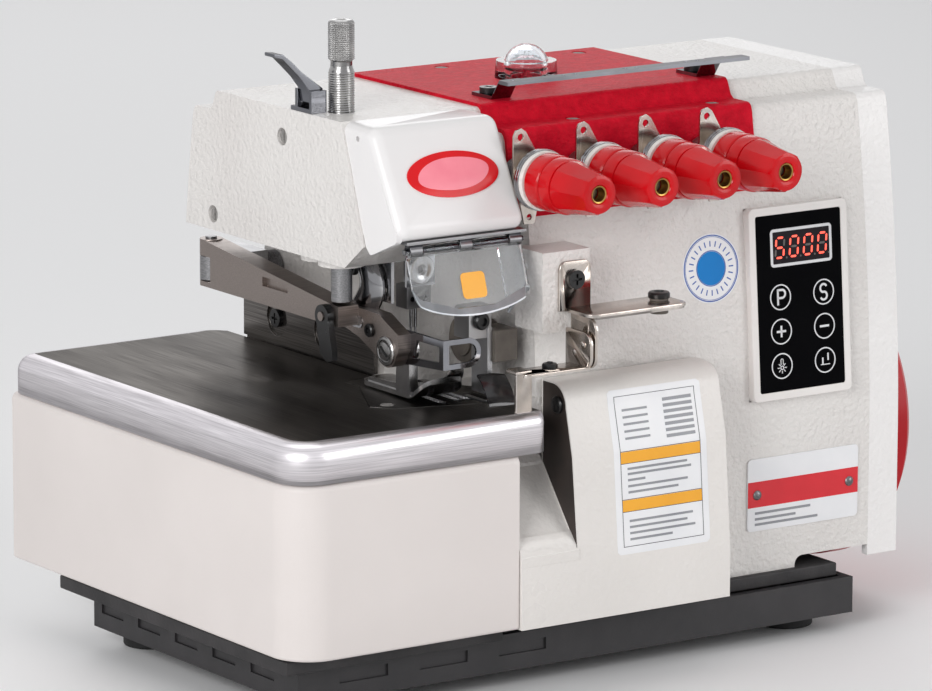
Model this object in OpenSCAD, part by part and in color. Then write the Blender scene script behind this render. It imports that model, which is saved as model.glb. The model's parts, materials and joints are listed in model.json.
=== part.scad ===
// Industrial overlock sewing machine, four threads, with the cloth plate, covers, presser arm,
// tension units, control panel and the sewing mechanism inside as separate pieces.
// Millimetres. +X runs along the arm to the handwheel, +Y to the back, +Z up.
// The origin is the middle of the footprint, on the surface the rubber feet stand on.

/* [Stance] */
// Height of each rubber foot
feet_height = 8; // [5:1:14]
// Diameter of each rubber foot
feet_diameter = 24; // [18:1:30]
// Height of the oil pan
pan_height = 16; // [12:1:24]
// Thickness of the cast base plate
base_thickness = 6; // [4:1:9]

/* [Casting] */
// Length of the casting to the right of the arm's top cover
tail_length = 74; // [70:1:88]
// Height of the casting from the base plate to the arm's top
body_height = 212; // [208:1:220]
// Depth of the casting at its foot
body_depth = 159; // [154:1:166]
// Depth of the arm's flat top
top_depth = 100; // [94:1:106]
// Depth across the ledges below the arm's top
ledge_depth = 134; // [130:1:140]
// Drop from the arm's top to its ledges
ledge_drop = 8.5; // [6:0.5:11]
// Wall of the main casting
casting_wall = 6; // [5:0.5:8]
// Thickness of the end cover along the arm
end_cover_length = 16; // [12:1:20]
// Wall of the end cover
end_cover_wall = 4; // [3:0.5:6]

/* [Head] */
// Distance from the cloth plate's left edge to the head
head_offset = 60; // [54:1:64]
// Length of the head housing along the arm
head_length = 51; // [48:1:54]
// Height of the head housing
head_height = 61; // [58:1:66]
// Wall of the head housing
head_wall = 5; // [4:0.5:7]
// Wall of the white head cover
head_cover_wall = 3; // [2:0.5:4]
// Reach of the head cover past the head housing
head_cover_reach = 12.5; // [10:0.5:15]
// Width of the oval badge
badge_width = 45; // [36:1:50]
// Height of the oval badge
badge_height = 20; // [14:1:22]

/* [Cloth plate] */
// Height of the cloth plate's top above the base plate
plate_height = 92; // [88:1:96]
// Depth of the cloth plate
plate_depth = 228; // [218:1:232]
// Height of the cloth plate's rolled rim
plate_rim = 17; // [13:1:19]
// Thickness of the cloth plate's sheet
plate_sheet = 2; // [1.5:0.25:2.5]
// Corner radius of the cloth plate
plate_corner = 16; // [10:1:20]
// Wall of the cover below the cloth plate
plate_cover_wall = 4; // [3:0.5:5]
// Thickness of the throat plate
throat_thickness = 2.5; // [2:0.25:3]

/* [Covers] */
// Length of the arm's top cover
top_cover_length = 128; // [124:1:132]
// Thickness of the arm's top cover
top_cover_wall = 3.5; // [3:0.25:4.5]
// Length of the front cover
front_cover_length = 108; // [104:1:112]
// Depth of the front cover in front of the casting
front_cover_depth = 27.5; // [25:0.5:30]
// Wall of the front cover
front_cover_wall = 4; // [3:0.5:5]
// Height of the front cover
front_cover_height = 100; // [96:1:103]

/* [Tension units] */
// Spacing of the tension units along the arm
tension_pitch = 32; // [29:0.5:34]
// Diameter of each tension cap at its rim
cap_diameter = 24; // [20:1:26]
// Length of each tension cap
cap_length = 38; // [32:1:42]
// Diameter of each tension stud
stud_diameter = 6; // [5:0.5:7]
// Diameter of the tension discs
disc_diameter = 26; // [22:1:28]

/* [Control panel] */
// Width of the control panel's frame
panel_width = 53; // [48:1:58]
// Height of the control panel's frame
panel_height = 84; // [76:1:90]
// Thickness of the control panel's frame
panel_thickness = 5; // [4:0.5:7]
// Width of the nameplate
nameplate_width = 60; // [50:1:62]
// Height of the nameplate
nameplate_height = 32; // [26:1:36]

/* [Presser] */
// Diameter of the knurled pressure screw
pressure_screw_diameter = 11.3; // [10:0.1:12]
// Height of the pressure screw above the head
pressure_screw_rise = 39; // [34:1:44]
// Width of the presser arm's beam
arm_width = 10; // [8:0.5:11]
// Height of the presser arm's beam at the back
arm_height = 20.5; // [18:0.5:22]
// Length of the presser foot's sole
foot_length = 44; // [40:1:46]
// Width of the presser foot's sole
foot_width = 22; // [18:1:24]
// Thickness of the presser foot's sole
foot_sole = 3; // [2:0.25:3.5]

/* [Sewing mechanism] */
// Diameter of the main shaft
shaft_diameter = 16; // [14:0.5:18]
// Height of the main shaft above the base plate
shaft_height = 51; // [49:1:54]
// Diameter of the handwheel
wheel_diameter = 136; // [120:1:140]
// Width of the handwheel's rim
wheel_width = 16; // [12:1:20]
// Diameter of the needle bar
needle_bar_diameter = 8; // [7:0.25:9]
// Stroke of the needle bar
needle_stroke = 24; // [22:0.5:25]
// Diameter of the pins that the loopers rock on
looper_pin_diameter = 8; // [7:0.5:9]
// Outer diameter of the drive motor
motor_diameter = 90; // [80:1:96]

/* [Fits] */
// Radial clearance of turning and sliding fits
running_gap = 0.05; // [0.03:0.01:0.08]
// Gap between pieces that move apart
moving_gap = 0.4; // [0.3:0.05:0.6]
// Radial clearance round a screw's shank
screw_gap = 0.1; // [0.05:0.01:0.2]

/* [Hidden] */
$fn = 48;

// Heights
z_pan = feet_height;
z_base = z_pan + pan_height;
z_body = z_base + base_thickness;
z_top = z_body + body_height;
z_ledge = z_top - ledge_drop;
z_plate = z_body + plate_height;
z_bed = z_plate - throat_thickness;
z_rim = z_plate - plate_rim;
z_shaft = z_body + shaft_height;
z_head = z_top - head_height;
z_column = z_plate + 28;
z_knee = z_body + 58;

// Stations along the arm
top_cover_start = 18;
machine_length = head_offset + head_length + top_cover_start + top_cover_length + tail_length;
x_left = -machine_length / 2;
x_right = machine_length / 2;
x_end = x_right - end_cover_length;
x_head = x_left + head_offset;
x_arm = x_head + head_length;
x_column = x_arm - 4;
x_neck = x_arm - 10;
x_top_cover = x_arm + top_cover_start;
x_front_cover = x_arm + 0.5;
visor_length = 59.5;
visor_x = x_head + 6;
x_recess = x_arm + 27;

// Depths
y_body = body_depth / 2;
y_front = -y_body;
y_plate_front = y_front - 26.1;
y_plate_back = y_plate_front + plate_depth;
slope_power = 1.8;
column_front = -3.6;
recess_back = -30;
z_recess = z_top - 45;

// The arm's top cover, the panel and the nameplate on the arm's front
cover_proud = 1.5;
panel_x = x_top_cover + top_cover_length + 19;
panel_z = z_plate + 26;
nameplate_x = panel_x + 2.5;
nameplate_z = z_body + 35;
nameplate_sheet = 0.8;
rivet_head = 4.5;
rivet_shank = 2.4;
rivet_x = [nameplate_x - nameplate_width / 2 + 5, nameplate_x + nameplate_width / 2 - 5];

// The needles, and the foot, feed and knives around them
needle_x = x_arm - 6.5;
needle_y = -35.6;
needle_pitch = 2.2;
foot_x = needle_x - 2.5;
foot_toe = needle_y - 22.4;
blade_x = x_arm + 4;
knife_sheet = 2.5;
knife_front = foot_toe - 14;
knife_depth = 12;
knife_pin_y = -46;
knife_pin_z = z_plate + 21;
knife_pin_diameter = 14;
feed_rows = [-5, 3.2, 7.4];
feed_row_width = 2.6;
tooth_rise = 0.3;
foot_gap = 0.8;
lower_looper_x = x_arm - 29.5;
upper_looper_x = x_arm + 24.5;
looper_z = z_body + 42;
bush_wall = 3;
bar_bush_wall = 1;
shaft_bushes = [[x_left + 16, casting_wall], [x_arm - 2, 12], [x_arm + 112, 10]];
motor_x = x_arm + 122;
motor_length = 40;
rotor_diameter = 62;
main_bar_x = needle_x - 5;
main_bar_z = z_body + 72;
front_bar_x = needle_x - 10;
front_bar_z = z_body + 63;

// The presser arm, its lift and swing axes and the pressure screw over it
screw_x = x_head + 14.7;
screw_y = -26.3;
arm_x = screw_x - arm_width / 2;
arm_bottom = z_plate + 29.5;
arm_back = 77;
lift_y = 66;
lift_z = z_plate + 37;
lift_pin_diameter = 8;
swing_pin_diameter = 5;
arm_front_height = 8;
foot_pivot_y = foot_toe + 5;
foot_pivot_z = z_plate + 22;
plunger_foot = arm_bottom + 9.9;
plunger_diameter = 9;

// The tension units
tension_x = x_arm + 21;
tension_z = z_plate + 95;
guide_plane = y_front - 2.1;
disc_plane = guide_plane - 7;
washer_plane = disc_plane - 3;
cap_plane = washer_plane - 2.6;
cap_bore = stud_diameter + 2 * running_gap;

// The fabric guide in front of the arm
boss_x = x_recess - 6;
boss_width = 24;
boss_front = y_front - 12;
guide_screw_x = boss_x + 15;
guide_z = z_plate + 38;
guide_pivot = [boss_x + 53.4, y_front - 21];
guide_sheet = 1.5;

// The cloth plate's hinge and the front cover's hinge
plate_hinge = [x_head + 10, y_plate_back - 8];
plate_back_corner = 5;
plate_right = x_column - 2.5;
plate_front_right = x_arm + 14.5;
hinge_pin_diameter = 6;
front_cover_front = y_front - front_cover_depth;
cover_hinge = [front_cover_front + 10, z_body + 7];
cover_pin_diameter = 5;
cover_lug_x = [x_front_cover + 12, x_front_cover + front_cover_length - 23];
cover_lug = 5;
cover_bottom = z_body + moving_gap;
cover_back = y_front - 0.5;
z_cover = z_body + front_cover_height;
chute_x = x_front_cover + 28.5;
chute_back_z = z_body + 65;
chute_front_z = z_body + 31;

// The visor's hinge
visor_hinge = [y_front - 6.5, z_recess - 4.5];
visor_pin_diameter = 2.4;
visor_sheet = 1.6;
visor_lug_x = [visor_x + 2, visor_x + visor_length / 2 - 3, visor_x + visor_length - 8];

// The screws: x, y, z of each head's seat and the direction the head faces
pan_head = 8;
pan_head_height = 2.4;
pan_shank = 4;
flat_head = 6;
flat_shank = 3;
guide_bar_x = [x_arm + 33, x_arm + 140];
guide_bar_y = -34;
guard_screw_y = [34, 72];
guard_screw_z = z_plate + 12;
top_cover_screw_x = [x_top_cover + 41, x_top_cover + 114];
throat_screws = [[needle_x - 27, needle_y - 21], [needle_x - 5, needle_y + 24]];
end_screws = [for (z = [z_body + 12, z_top - 40], side = [-1, 1])
    [side * (half_depth(z) - casting_wall - 4), z]];

// The throat plate's outline, clockwise from above
throat_outline = [for (p = [[-29.5, -29], [-35.4, -20.7], [-16.5, 16], [-16.8, 26.7], [-1.5, 30], [23.4, -10],
    [23.4, -45.7]]) [needle_x + p[0], needle_y + p[1]]];

// ---- Shared shapes ----

// The point where two lines cross, each given by a point and a direction
function crossing(p, u, q, v) =
    p + u * ((q[0] - p[0]) * v[1] - (q[1] - p[1]) * v[0]) / (u[0] * v[1] - u[1] * v[0]);

// A clockwise outline moved outwards by a gap
function grown(points, gap) = let (n = len(points)) [for (i = [0:n - 1])
    let (a = points[(i + n - 1) % n], b = points[i], c = points[(i + 1) % n],
        u = (b - a) / norm(b - a), v = (c - b) / norm(c - b))
    crossing(b + gap * [-u[1], u[0]], u, b + gap * [-v[1], v[0]], v)];

// Half the casting's depth at a height: upright to the knee, then drawn in by a power curve
function half_depth(z) = z < z_knee ? y_body
    : y_body - (y_body - ledge_depth / 2) * pow((z - z_knee) / (z_ledge - z_knee), slope_power);

// Points on an arc of a circle
function arc(cx, cy, r, a0, a1, n) =
    [for (i = [0:n]) let (a = a0 + (a1 - a0) * i / n) [cx + r * cos(a), cy + r * sin(a)]];

// A list of points followed by its mirror image in the y = 0 plane
function both_sides(points) =
    concat(points, [for (i = [len(points) - 1:-1:0]) [-points[i][0], points[i][1]]]);

// The rounded top edge of the casting, from its ledge to its flat top, moved inwards by inset
function top_profile(inset) = concat(
    [[top_depth / 2 + 2 - inset, z_ledge + 1.5 - inset]],
    arc(top_depth / 2 - 3 - inset, z_top - 3 - inset, 3, 15, 90, 3));

// The sloping face of the casting and its ledge, from a height up, moved inwards by inset
function slope_profile(bottom, inset) = let (low = max(bottom, z_knee), high = z_ledge - 4 - inset) concat(
    bottom < low ? [[half_depth(bottom) - inset, bottom]] : [],
    [for (i = [0:9]) let (z = low + (high - low) * i / 9) [half_depth(z) - inset, z]],
    arc(ledge_depth / 2 - 3 - inset, z_ledge - 3 - inset, 3, 10, 90, 3),
    [[top_depth / 2 + 4 - inset, z_ledge - inset]]);

// One side of the casting's cross-section
function side_profile(bottom, inset) = concat(slope_profile(bottom, inset), top_profile(inset));

function reversed(points) = [for (i = [len(points) - 1:-1:0]) points[i]];

// The line of the arm's top cover, up the front slope, over the top and down to the back ledge
function over_profile(inset) = concat(
    [for (p = side_profile(z_recess + 1, inset)) [-p[0], p[1]]], reversed(top_profile(inset)));

// A closed band between two such lines
function over_band(outer, inner) = concat(over_profile(outer), reversed(over_profile(inner)));

module along_x(x0, x1) translate([x0, 0, 0]) rotate([90, 0, 90]) linear_extrude(x1 - x0) children();

module along_y(y0, y1) translate([0, y1, 0]) rotate([90, 0, 0]) linear_extrude(y1 - y0) children();

module along_z(z0, z1) translate([0, 0, z0]) linear_extrude(z1 - z0) children();

module box(low, high) translate(low) cube([high[0] - low[0], high[1] - low[1], high[2] - low[2]]);

module rod_x(x0, x1, y, z, d) translate([x0, y, z]) rotate([0, 90, 0]) cylinder(d = d, h = x1 - x0);

module rod_y(x, y0, y1, z, d) translate([x, y1, z]) rotate([90, 0, 0]) cylinder(d = d, h = y1 - y0);

module rod_z(x, y, z0, z1, d) translate([x, y, z0]) cylinder(d = d, h = z1 - z0);

module casting_section(bottom, inset) polygon(both_sides(side_profile(bottom, inset)));

// A rounded rectangle from one corner to the other
module rounded(low, high, r) polygon(concat(
    arc(high[0] - r, high[1] - r, r, 0, 90, 8), arc(low[0] + r, high[1] - r, r, 90, 180, 8),
    arc(low[0] + r, low[1] + r, r, 180, 270, 8), arc(high[0] - r, low[1] + r, r, 270, 360, 8)));

// A pan-head screw with a cross recess, its seat at the origin and its head along +Z
module pan_screw(shank_length) {
    difference() {
        union() {
            cylinder(d = pan_head, h = pan_head_height);
            translate([0, 0, -shank_length]) cylinder(d = pan_shank, h = shank_length + 0.5);
        }
        for (turn = [0, 90]) rotate([0, 0, turn])
            translate([-2.4, -0.5, pan_head_height - 1.2]) cube([4.8, 1, 2]);
    }
}

// A small flat-head screw with a slot, its seat at the origin and its head along +Z
module flat_screw(shank_length) {
    difference() {
        union() {
            cylinder(d = flat_head, h = 1.6);
            translate([0, 0, -shank_length]) cylinder(d = flat_shank, h = shank_length + 0.5);
        }
        translate([-4, -0.5, 0.8]) cube([8, 1, 2]);
    }
}

// ---- Stance ----

feet_spots = concat([[0, 0]], [for (x = [x_left + 33.5, x_right - 47.5], side = [-1, 1]) [x, side * (y_body - 17.5)]]);

module rubber_feet() color([0.08, 0.08, 0.08])
    for (spot = feet_spots) {
        rod_z(spot[0], spot[1], 0, feet_height, feet_diameter);
        rod_z(spot[0], spot[1], feet_height - 1, feet_height + 2.6, 8);
    }

module oil_pan() color([0.2, 0.19, 0.2]) difference() {
    box([x_left + 13, y_front - 8, z_pan], [x_end - 14, y_body - 4, z_base]);
    box([x_left + 17, y_front - 4, z_pan + 3], [x_end - 18, y_body - 8, z_base + 1]);
    for (spot = feet_spots) rod_z(spot[0], spot[1], z_pan - 1, z_pan + 4, 8 + 2 * screw_gap);
    for (y = [-60:30:60]) box([x_left + 12, y - 9, z_base - 9], [x_left + 14, y + 9, z_base - 4]);
    for (x = [-120:40:-40]) box([x - 12, y_front - 9, z_base - 9], [x + 12, y_front - 7, z_base - 4]);
}

module base_plate() color([0.33, 0.32, 0.33]) difference() {
    along_z(z_base, z_body) polygon([
        [x_left + 2, y_plate_front + 10], [x_arm - 1, y_plate_front + 10], [x_arm - 1, y_front - 3],
        [x_end - 19, y_front - 3], [x_end - 19, y_body - 2], [x_arm - 1, y_body - 2],
        [x_arm - 1, y_body + 6.5], [x_left + 2, y_body + 6.5]]);
    along_z(z_base - 1, z_body + 1) rounded([x_left + 30, -48], [x_end - 50, 48], 6);
}

// ---- Main casting ----

// Solid outer form of the column, arm and bed
module frame_outside() {
    // Ledge under the left end of the throat plate
    box([x_head + 6, -62, z_bed - 6], [x_head + 22, -11, z_bed]);
    difference() {
        along_x(x_arm, x_end) casting_section(z_body, 0);
        box([x_arm - 1, -100, z_plate], [x_recess, recess_back, z_recess]);
    }
    along_x(x_neck, x_arm) polygon([
        [column_front, z_column], [half_depth(z_column), z_column],
        [half_depth(z_head), z_head], [column_front, z_head]]);
    box([x_column, column_front, z_bed - 1], [x_arm, half_depth(z_column), z_column + 1]);
    box([x_left + 16, -45, z_body], [x_head + 8, 75, z_bed]);
    box([x_head + 7, -12, z_body], [x_arm + 1, 75, z_bed]);
    box([plate_hinge[0] - 9, 70, z_bed - 24], [plate_hinge[0] + 9, plate_hinge[1] + 8, z_rim - 1]);
    box([boss_x, boss_front, guide_z - 8], [boss_x + boss_width, y_front + 8, z_recess - 11]);
}

// Hollow of the column and arm, open at the end cover and the base plate
module frame_hollow() {
    difference() {
        along_x(x_arm + casting_wall, x_end + 1) casting_section(z_body - 1, casting_wall);
        box([x_arm, -100, z_plate - casting_wall], [x_recess + casting_wall, recess_back + casting_wall,
            z_recess + casting_wall]);
    }
    box([x_left + 22, -39, z_body - 1], [x_head + 8, 69, z_bed - casting_wall]);
    box([x_head + 7, -6, z_body - 1], [x_arm - 4, 69, z_bed - casting_wall]);
}

// Space for the loopers and knives, in front of the oil-tight wall
module looper_bay() {
    box([x_arm - 6, y_front + 6, z_body + 12], [x_arm + 100, knife_pin_y, z_plate - 6]);
    box([x_arm - 6, y_front + 3, z_body + 12], [x_arm + 16, -12, z_plate + 1]);
    box([x_arm + 9, y_front - 1, z_body + 12], [x_arm + 100, y_front + 8, z_plate - 8]);
}

module machine_frame() color([0.87, 0.85, 0.84]) difference() {
    union() {
        difference() {
            frame_outside();
            frame_hollow();
        }
        box([x_arm + 1, knife_pin_y, z_body], [x_arm + 104, knife_pin_y + casting_wall, z_plate - 2]);
        box([x_arm - 2, -36, z_body], [x_arm + 10, 69, z_shaft + 30]);
        box([x_arm + 112, -y_body + 4, z_body], [x_arm + 122, y_body - 4, z_shaft + 60]);
        for (spot = end_screws) rod_x(x_end - 14, x_end, spot[0], spot[1], 12);
        for (x = cover_lug_x) {
            box([x, cover_hinge[0], cover_hinge[1] - 4.5], [x + cover_lug, y_front + 2, cover_hinge[1] + 4.5]);
            rod_x(x, x + cover_lug, cover_hinge[0], cover_hinge[1], 9);
        }
    }
    looper_bay();
    for (x = cover_lug_x) rod_x(x - 1, x + cover_lug + 1, cover_hinge[0], cover_hinge[1], cover_pin_diameter);
    // Room for the throat plate and the cloth plate's front corner
    along_z(z_bed, z_plate + moving_gap) polygon(grown(throat_outline, moving_gap));
    box([x_arm - 1, y_front - 1, z_bed], [plate_front_right + 2, needle_y - 20, z_plate + 1]);
    // Shaft tunnel and its bearing seats
    rod_x(x_left + 10, x_end - 10, 0, z_shaft, shaft_diameter + 2 * bush_wall);
    // The arm's top is open below its cover, and the front is cut back to seat it
    along_x(x_top_cover, x_top_cover + top_cover_length)
        polygon(over_band(-cover_proud - 6, top_cover_wall - cover_proud));
    box([x_top_cover + 8, -12, z_top - 12], [x_top_cover + top_cover_length - 8, 36, z_top + 1]);
    // Flat seat for the control panel, and holes for the nameplate's rivets
    panel_place() box([-panel_width / 2, -12, -panel_height / 2], [panel_width / 2, 0, panel_height / 2]);
    for (x = rivet_x) rod_y(x, y_front - 1, y_front + 5, nameplate_z, rivet_shank + 2 * screw_gap);
    // Holes for pins, studs and screws
    for (i = [0:3]) rod_y(tension_x + i * tension_pitch, y_front - 5, y_front + 30, tension_z,
        stud_diameter + 2 * screw_gap);
    rod_x(x_neck - 1, x_neck + 30, lift_y, lift_z, lift_pin_diameter);
    rod_x(x_recess - 1, x_recess + 12, knife_pin_y, knife_pin_z, knife_pin_diameter);
    rod_y(lower_looper_x, -13, 8, looper_z, looper_pin_diameter);
    rod_y(upper_looper_x, knife_pin_y - 1, knife_pin_y + 8, looper_z, looper_pin_diameter);
    rod_z(plate_hinge[0], plate_hinge[1], z_bed - 25, z_bed + 1, hinge_pin_diameter);
    for (y = guard_screw_y) rod_x(x_column - 1, x_column + 12, y, guard_screw_z, pan_shank + 2 * screw_gap);
    for (x = guide_bar_x) rod_z(x, guide_bar_y, z_top - 30, z_top + 1, pan_shank + 2 * screw_gap);
    for (spot = throat_screws) rod_z(spot[0], spot[1], z_bed - 12, z_bed + 1, flat_shank + 2 * screw_gap);
    for (spot = end_screws) rod_x(x_end - 12, x_end + 1, spot[0], spot[1], flat_shank + 2 * screw_gap);
    rod_y(guide_screw_x, boss_front - 1, boss_front + 9, guide_z + 14, pan_shank + 2 * screw_gap);
    // Slots for the two feed bars, and the notch above the base plate
    box([main_bar_x - 1, -13, main_bar_z - 1], [main_bar_x + 7, -5, main_bar_z + 6]);
    box([front_bar_x - 1, -13, front_bar_z - 1], [front_bar_x + 6, -5, front_bar_z + 6]);
    along_y(y_front - 1, y_front + casting_wall + 1)
        rounded([x_end - 40, z_body - 8], [x_end + 8, z_body + 5], 4);
}

module end_cover() color([0.87, 0.85, 0.84]) difference() {
    along_x(x_end, x_right) casting_section(z_body, 0);
    along_x(x_end - 1, x_right - end_cover_wall) difference() {
        casting_section(z_body - 1, end_cover_wall);
        for (spot = end_screws) translate(spot) circle(d = 10);
    }
    rod_x(x_end, x_right + 1, 0, z_shaft, shaft_diameter + 4);
    for (spot = end_screws) {
        rod_x(x_end - 1, x_right + 1, spot[0], spot[1], flat_shank + 2 * screw_gap);
        rod_x(x_right - 2, x_right + 1, spot[0], spot[1], flat_head + 1);
    }
}

// ---- Head ----

// The sloping front edge of the head housing, as a depth at a height
function head_front(z) = -(top_depth / 2 - 1.7 + (z_top - z) * 0.339);

// The head cover's front face leans out by head_lean towards its lower edge
head_cover_top = top_depth / 2 + 19.6;
head_lean = 28;
function cover_front(z) = -(head_cover_top + (z_top - z) * tan(head_lean));

module head_section(inset) polygon(concat(
    [[half_depth(z_head) - inset, z_head + inset]],
    side_profile(z_head + 8, inset),
    [[-(top_depth / 2 - 1.7 - inset), z_top - inset], [head_front(z_head + 11) + inset, z_head + 11],
        [-51 + inset, z_head + inset]]));

module head_housing() color([0.87, 0.85, 0.84]) difference() {
    union() {
        difference() {
            along_x(x_head, x_arm) head_section(0);
            along_x(x_head + head_wall, x_arm + 1) head_section(head_wall);
        }
        box([needle_x - 12, needle_y - 9, z_head + 24], [x_arm, needle_y + 9, z_head + 32]);
        rod_z(needle_x - 0.5, needle_y, z_head - 3, z_head + 8, 14 - 2);
        rod_z(screw_x, screw_y, z_head - 4, z_head + 8, 20);
        rod_z(screw_x, screw_y, z_top - 16, z_top - 1, 20);
        rod_z(screw_x + 2, screw_y + 20, z_head - 5, z_head + 2, 16);
    }
    // Opening behind the head cover
    box([x_head + 12, -80, z_head + 16], [x_arm + 1, head_front(z_top) + 5, z_top - 10]);
    rod_z(needle_x, needle_y, z_head - 4, z_head + 40, needle_bar_diameter + 2 * bar_bush_wall);
    rod_z(screw_x, screw_y, z_head - 5, z_head + 20, plunger_diameter + 2 * running_gap);
    rod_z(screw_x, screw_y, z_top - 17, z_top + 1, pressure_screw_diameter + 2 * running_gap);
    for (spot = head_screws) {
        rod_x(x_head - 1, x_head + 2.6, spot[0], spot[1], 7.5);
        rod_x(x_head - 1, x_head + head_wall + 1, spot[0], spot[1], flat_shank + 2 * screw_gap);
    }
    for (x = bracket_screw_x) rod_z(x, bracket_y, z_top - 8, z_top + 1, flat_shank + 2 * screw_gap);
}

// The white cover over the front of the head, open at the back
module head_cover() color([0.95, 0.94, 0.94]) difference() {
    union() {
        along_x(x_head + 1, x_arm + head_cover_reach) polygon(concat(
            [[head_front(z_top) - 0.1, z_top]],
            arc(-head_cover_top + 6 * (1 - sin(head_lean)) / cos(head_lean), z_top - 6, 6, 90, 180 - head_lean, 5),
            arc(cover_front(z_recess) + 3 * (1 + sin(head_lean)) / cos(head_lean), z_recess + 3, 3,
                180 - head_lean, 270, 4),
            [[head_front(z_recess) - 0.1, z_recess]]));
        along_x(x_head + 1, x_head + 1 + head_cover_wall) polygon([
            [cover_front(z_recess) + 3, z_recess + 1], [-69, z_head + 8], [head_front(z_head + 11) - 0.5, z_head + 11],
            [head_front(z_recess) - 0.1, z_recess + 1]]);
    }
    along_x(x_head + 1 + head_cover_wall, x_arm + head_cover_reach - head_cover_wall) polygon([
        [0, z_top - head_cover_wall], [-head_cover_top + 4, z_top - head_cover_wall],
        [-head_cover_top + head_cover_wall, z_top - 7],
        [cover_front(z_recess + head_cover_wall) + head_cover_wall + 1, z_recess + head_cover_wall],
        [0, z_recess + head_cover_wall]]);
    // Relief that follows the arm's end
    along_x(x_arm - 0.1, x_arm + head_cover_reach + 1) casting_section(z_body, -0.2);
    rod_x(x_head, x_head + 6, -59.5, z_top - 5.5, 2.4);
}

module cover_face() translate([0, -head_cover_top, z_top]) rotate([-head_lean, 0, 0]) children();

module head_badge() color([0.86, 0.1, 0.14]) cover_face()
    translate([x_head + head_length / 2 + 8.6, 0, -23]) rotate([90, 0, 0]) difference() {
        linear_extrude(1.4) scale([badge_width / badge_height, 1]) circle(d = badge_height);
        translate([0, 0, 1.1]) linear_extrude(1)
            scale([(badge_width - 6) / (badge_height - 5), 1]) circle(d = badge_height - 5);
    }

module pressure_screw() color([0.72, 0.7, 0.68]) difference() {
    union() {
        rod_z(screw_x, screw_y, z_top - 26, z_top + pressure_screw_rise, pressure_screw_diameter - 0.9);
        rod_z(screw_x, screw_y, z_top - 26, z_top + 17, pressure_screw_diameter);
        rod_z(screw_x, screw_y, z_top + 22, z_top + pressure_screw_rise - 0.6, pressure_screw_diameter);
    }
    rod_z(screw_x, screw_y, z_top + 12, z_top + pressure_screw_rise + 1, 3.2);
}

bracket_screw_x = [x_head + 3.5];
bracket_y = screw_y + 14;
lever_pivot = [x_head + 5, z_top + 6.5];
lever_pin_diameter = 4;

module lever_bracket() color([0.2, 0.2, 0.22]) difference() {
    union() {
        box([x_head + 0.5, screw_y + 1, z_top], [x_head + 8, screw_y + 17, z_top + 1.8]);
        for (y = [screw_y + 1, screw_y + 11.8])
            box([x_head + 0.5, y, z_top], [x_head + 8, y + 1.8, z_top + 9.5]);
        rod_y(lever_pivot[0], screw_y + 1, screw_y + 13.6, lever_pivot[1], lever_pin_diameter);
    }
    rod_z(bracket_screw_x[0], bracket_y + 1.3, z_top - 1, z_top + 3, 2);
}

// The curved blade of the presser lifting lever, as an outline in the XZ plane
lever_blade = [[2.6, -3], [2.6, 3.6], [-2, 7], [-7.5, 11], [-12.5, 15.8], [-17, 19.4], [-21, 19.9], [-21, 18.4],
    [-17.4, 17.4], [-13.2, 13.4], [-8.4, 8.6], [-4, 2.8], [-3.2, -2.4]];

module release_lever() color([0.3, 0.31, 0.33]) difference() {
    translate([lever_pivot[0], 0, lever_pivot[1]])
        along_y(screw_y + 3.2, screw_y + 11.4) polygon(lever_blade);
    rod_y(lever_pivot[0], screw_y, screw_y + 14, lever_pivot[1], lever_pin_diameter + 2 * running_gap);
}

// ---- Arm's top cover and what stands on it ----

dome_spot = [x_arm + 74.5, -2];
dome_ring = 27.4;
dome_ring_height = 7.4;
dome_diameter = 19.6;
dome_centre = 4.8;
dome_neck = 18;

module arm_top_cover() color([0.8, 0.08, 0.17]) difference() {
    along_x(x_top_cover, x_top_cover + top_cover_length)
        polygon(over_band(-cover_proud, top_cover_wall - cover_proud));
    for (i = [0:3]) rod_y(tension_x + i * tension_pitch, y_front - 5, y_front + 30, tension_z,
        stud_diameter + 2 * screw_gap);
    for (x = guide_bar_x) rod_z(x, guide_bar_y, z_top - 5, z_top + 5, pan_shank + 2 * screw_gap);
    rod_z(dome_spot[0], dome_spot[1], z_top - 5, z_top + 5, dome_neck + 2 * screw_gap);
    for (x = top_cover_screw_x) {
        rod_z(x, 40, z_top - 5, z_top + 5, flat_shank + 2 * screw_gap);
        rod_z(x, 40, z_top - 0.4, z_top + 5, flat_head + 0.6);
        rod_z(x, -59, z_ledge - 5, z_ledge + 5, flat_shank + 2 * screw_gap);
        rod_z(x, -59, z_ledge - 0.4, z_ledge + 5, flat_head + 0.6);
    }
}

module sight_dome() color([0.8, 0.85, 0.9, 0.5]) translate([dome_spot[0], dome_spot[1], z_top + cover_proud])
    rotate_extrude() polygon(concat(
        [[dome_neck / 2 - 2, -7], [dome_neck / 2, -7], [dome_neck / 2, 0], [dome_ring / 2, 0],
            [dome_ring / 2 - 0.7, dome_ring_height], [9.45, dome_ring_height]],
        [for (a = [15:15:90]) [dome_diameter / 2 * cos(a), dome_centre + dome_diameter / 2 * sin(a)]],
        [for (a = [90:-15:0]) [(dome_diameter / 2 - 2) * cos(a), dome_centre + (dome_diameter / 2 - 2) * sin(a)]],
        [[dome_neck / 2 - 2, 3]]));

// A bent strip with two Z-shaped feet and paired eyelets
guide_bar_top = z_top + 9;
guide_bar_depth = [guide_bar_y - 16, guide_bar_y - 22];

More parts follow.
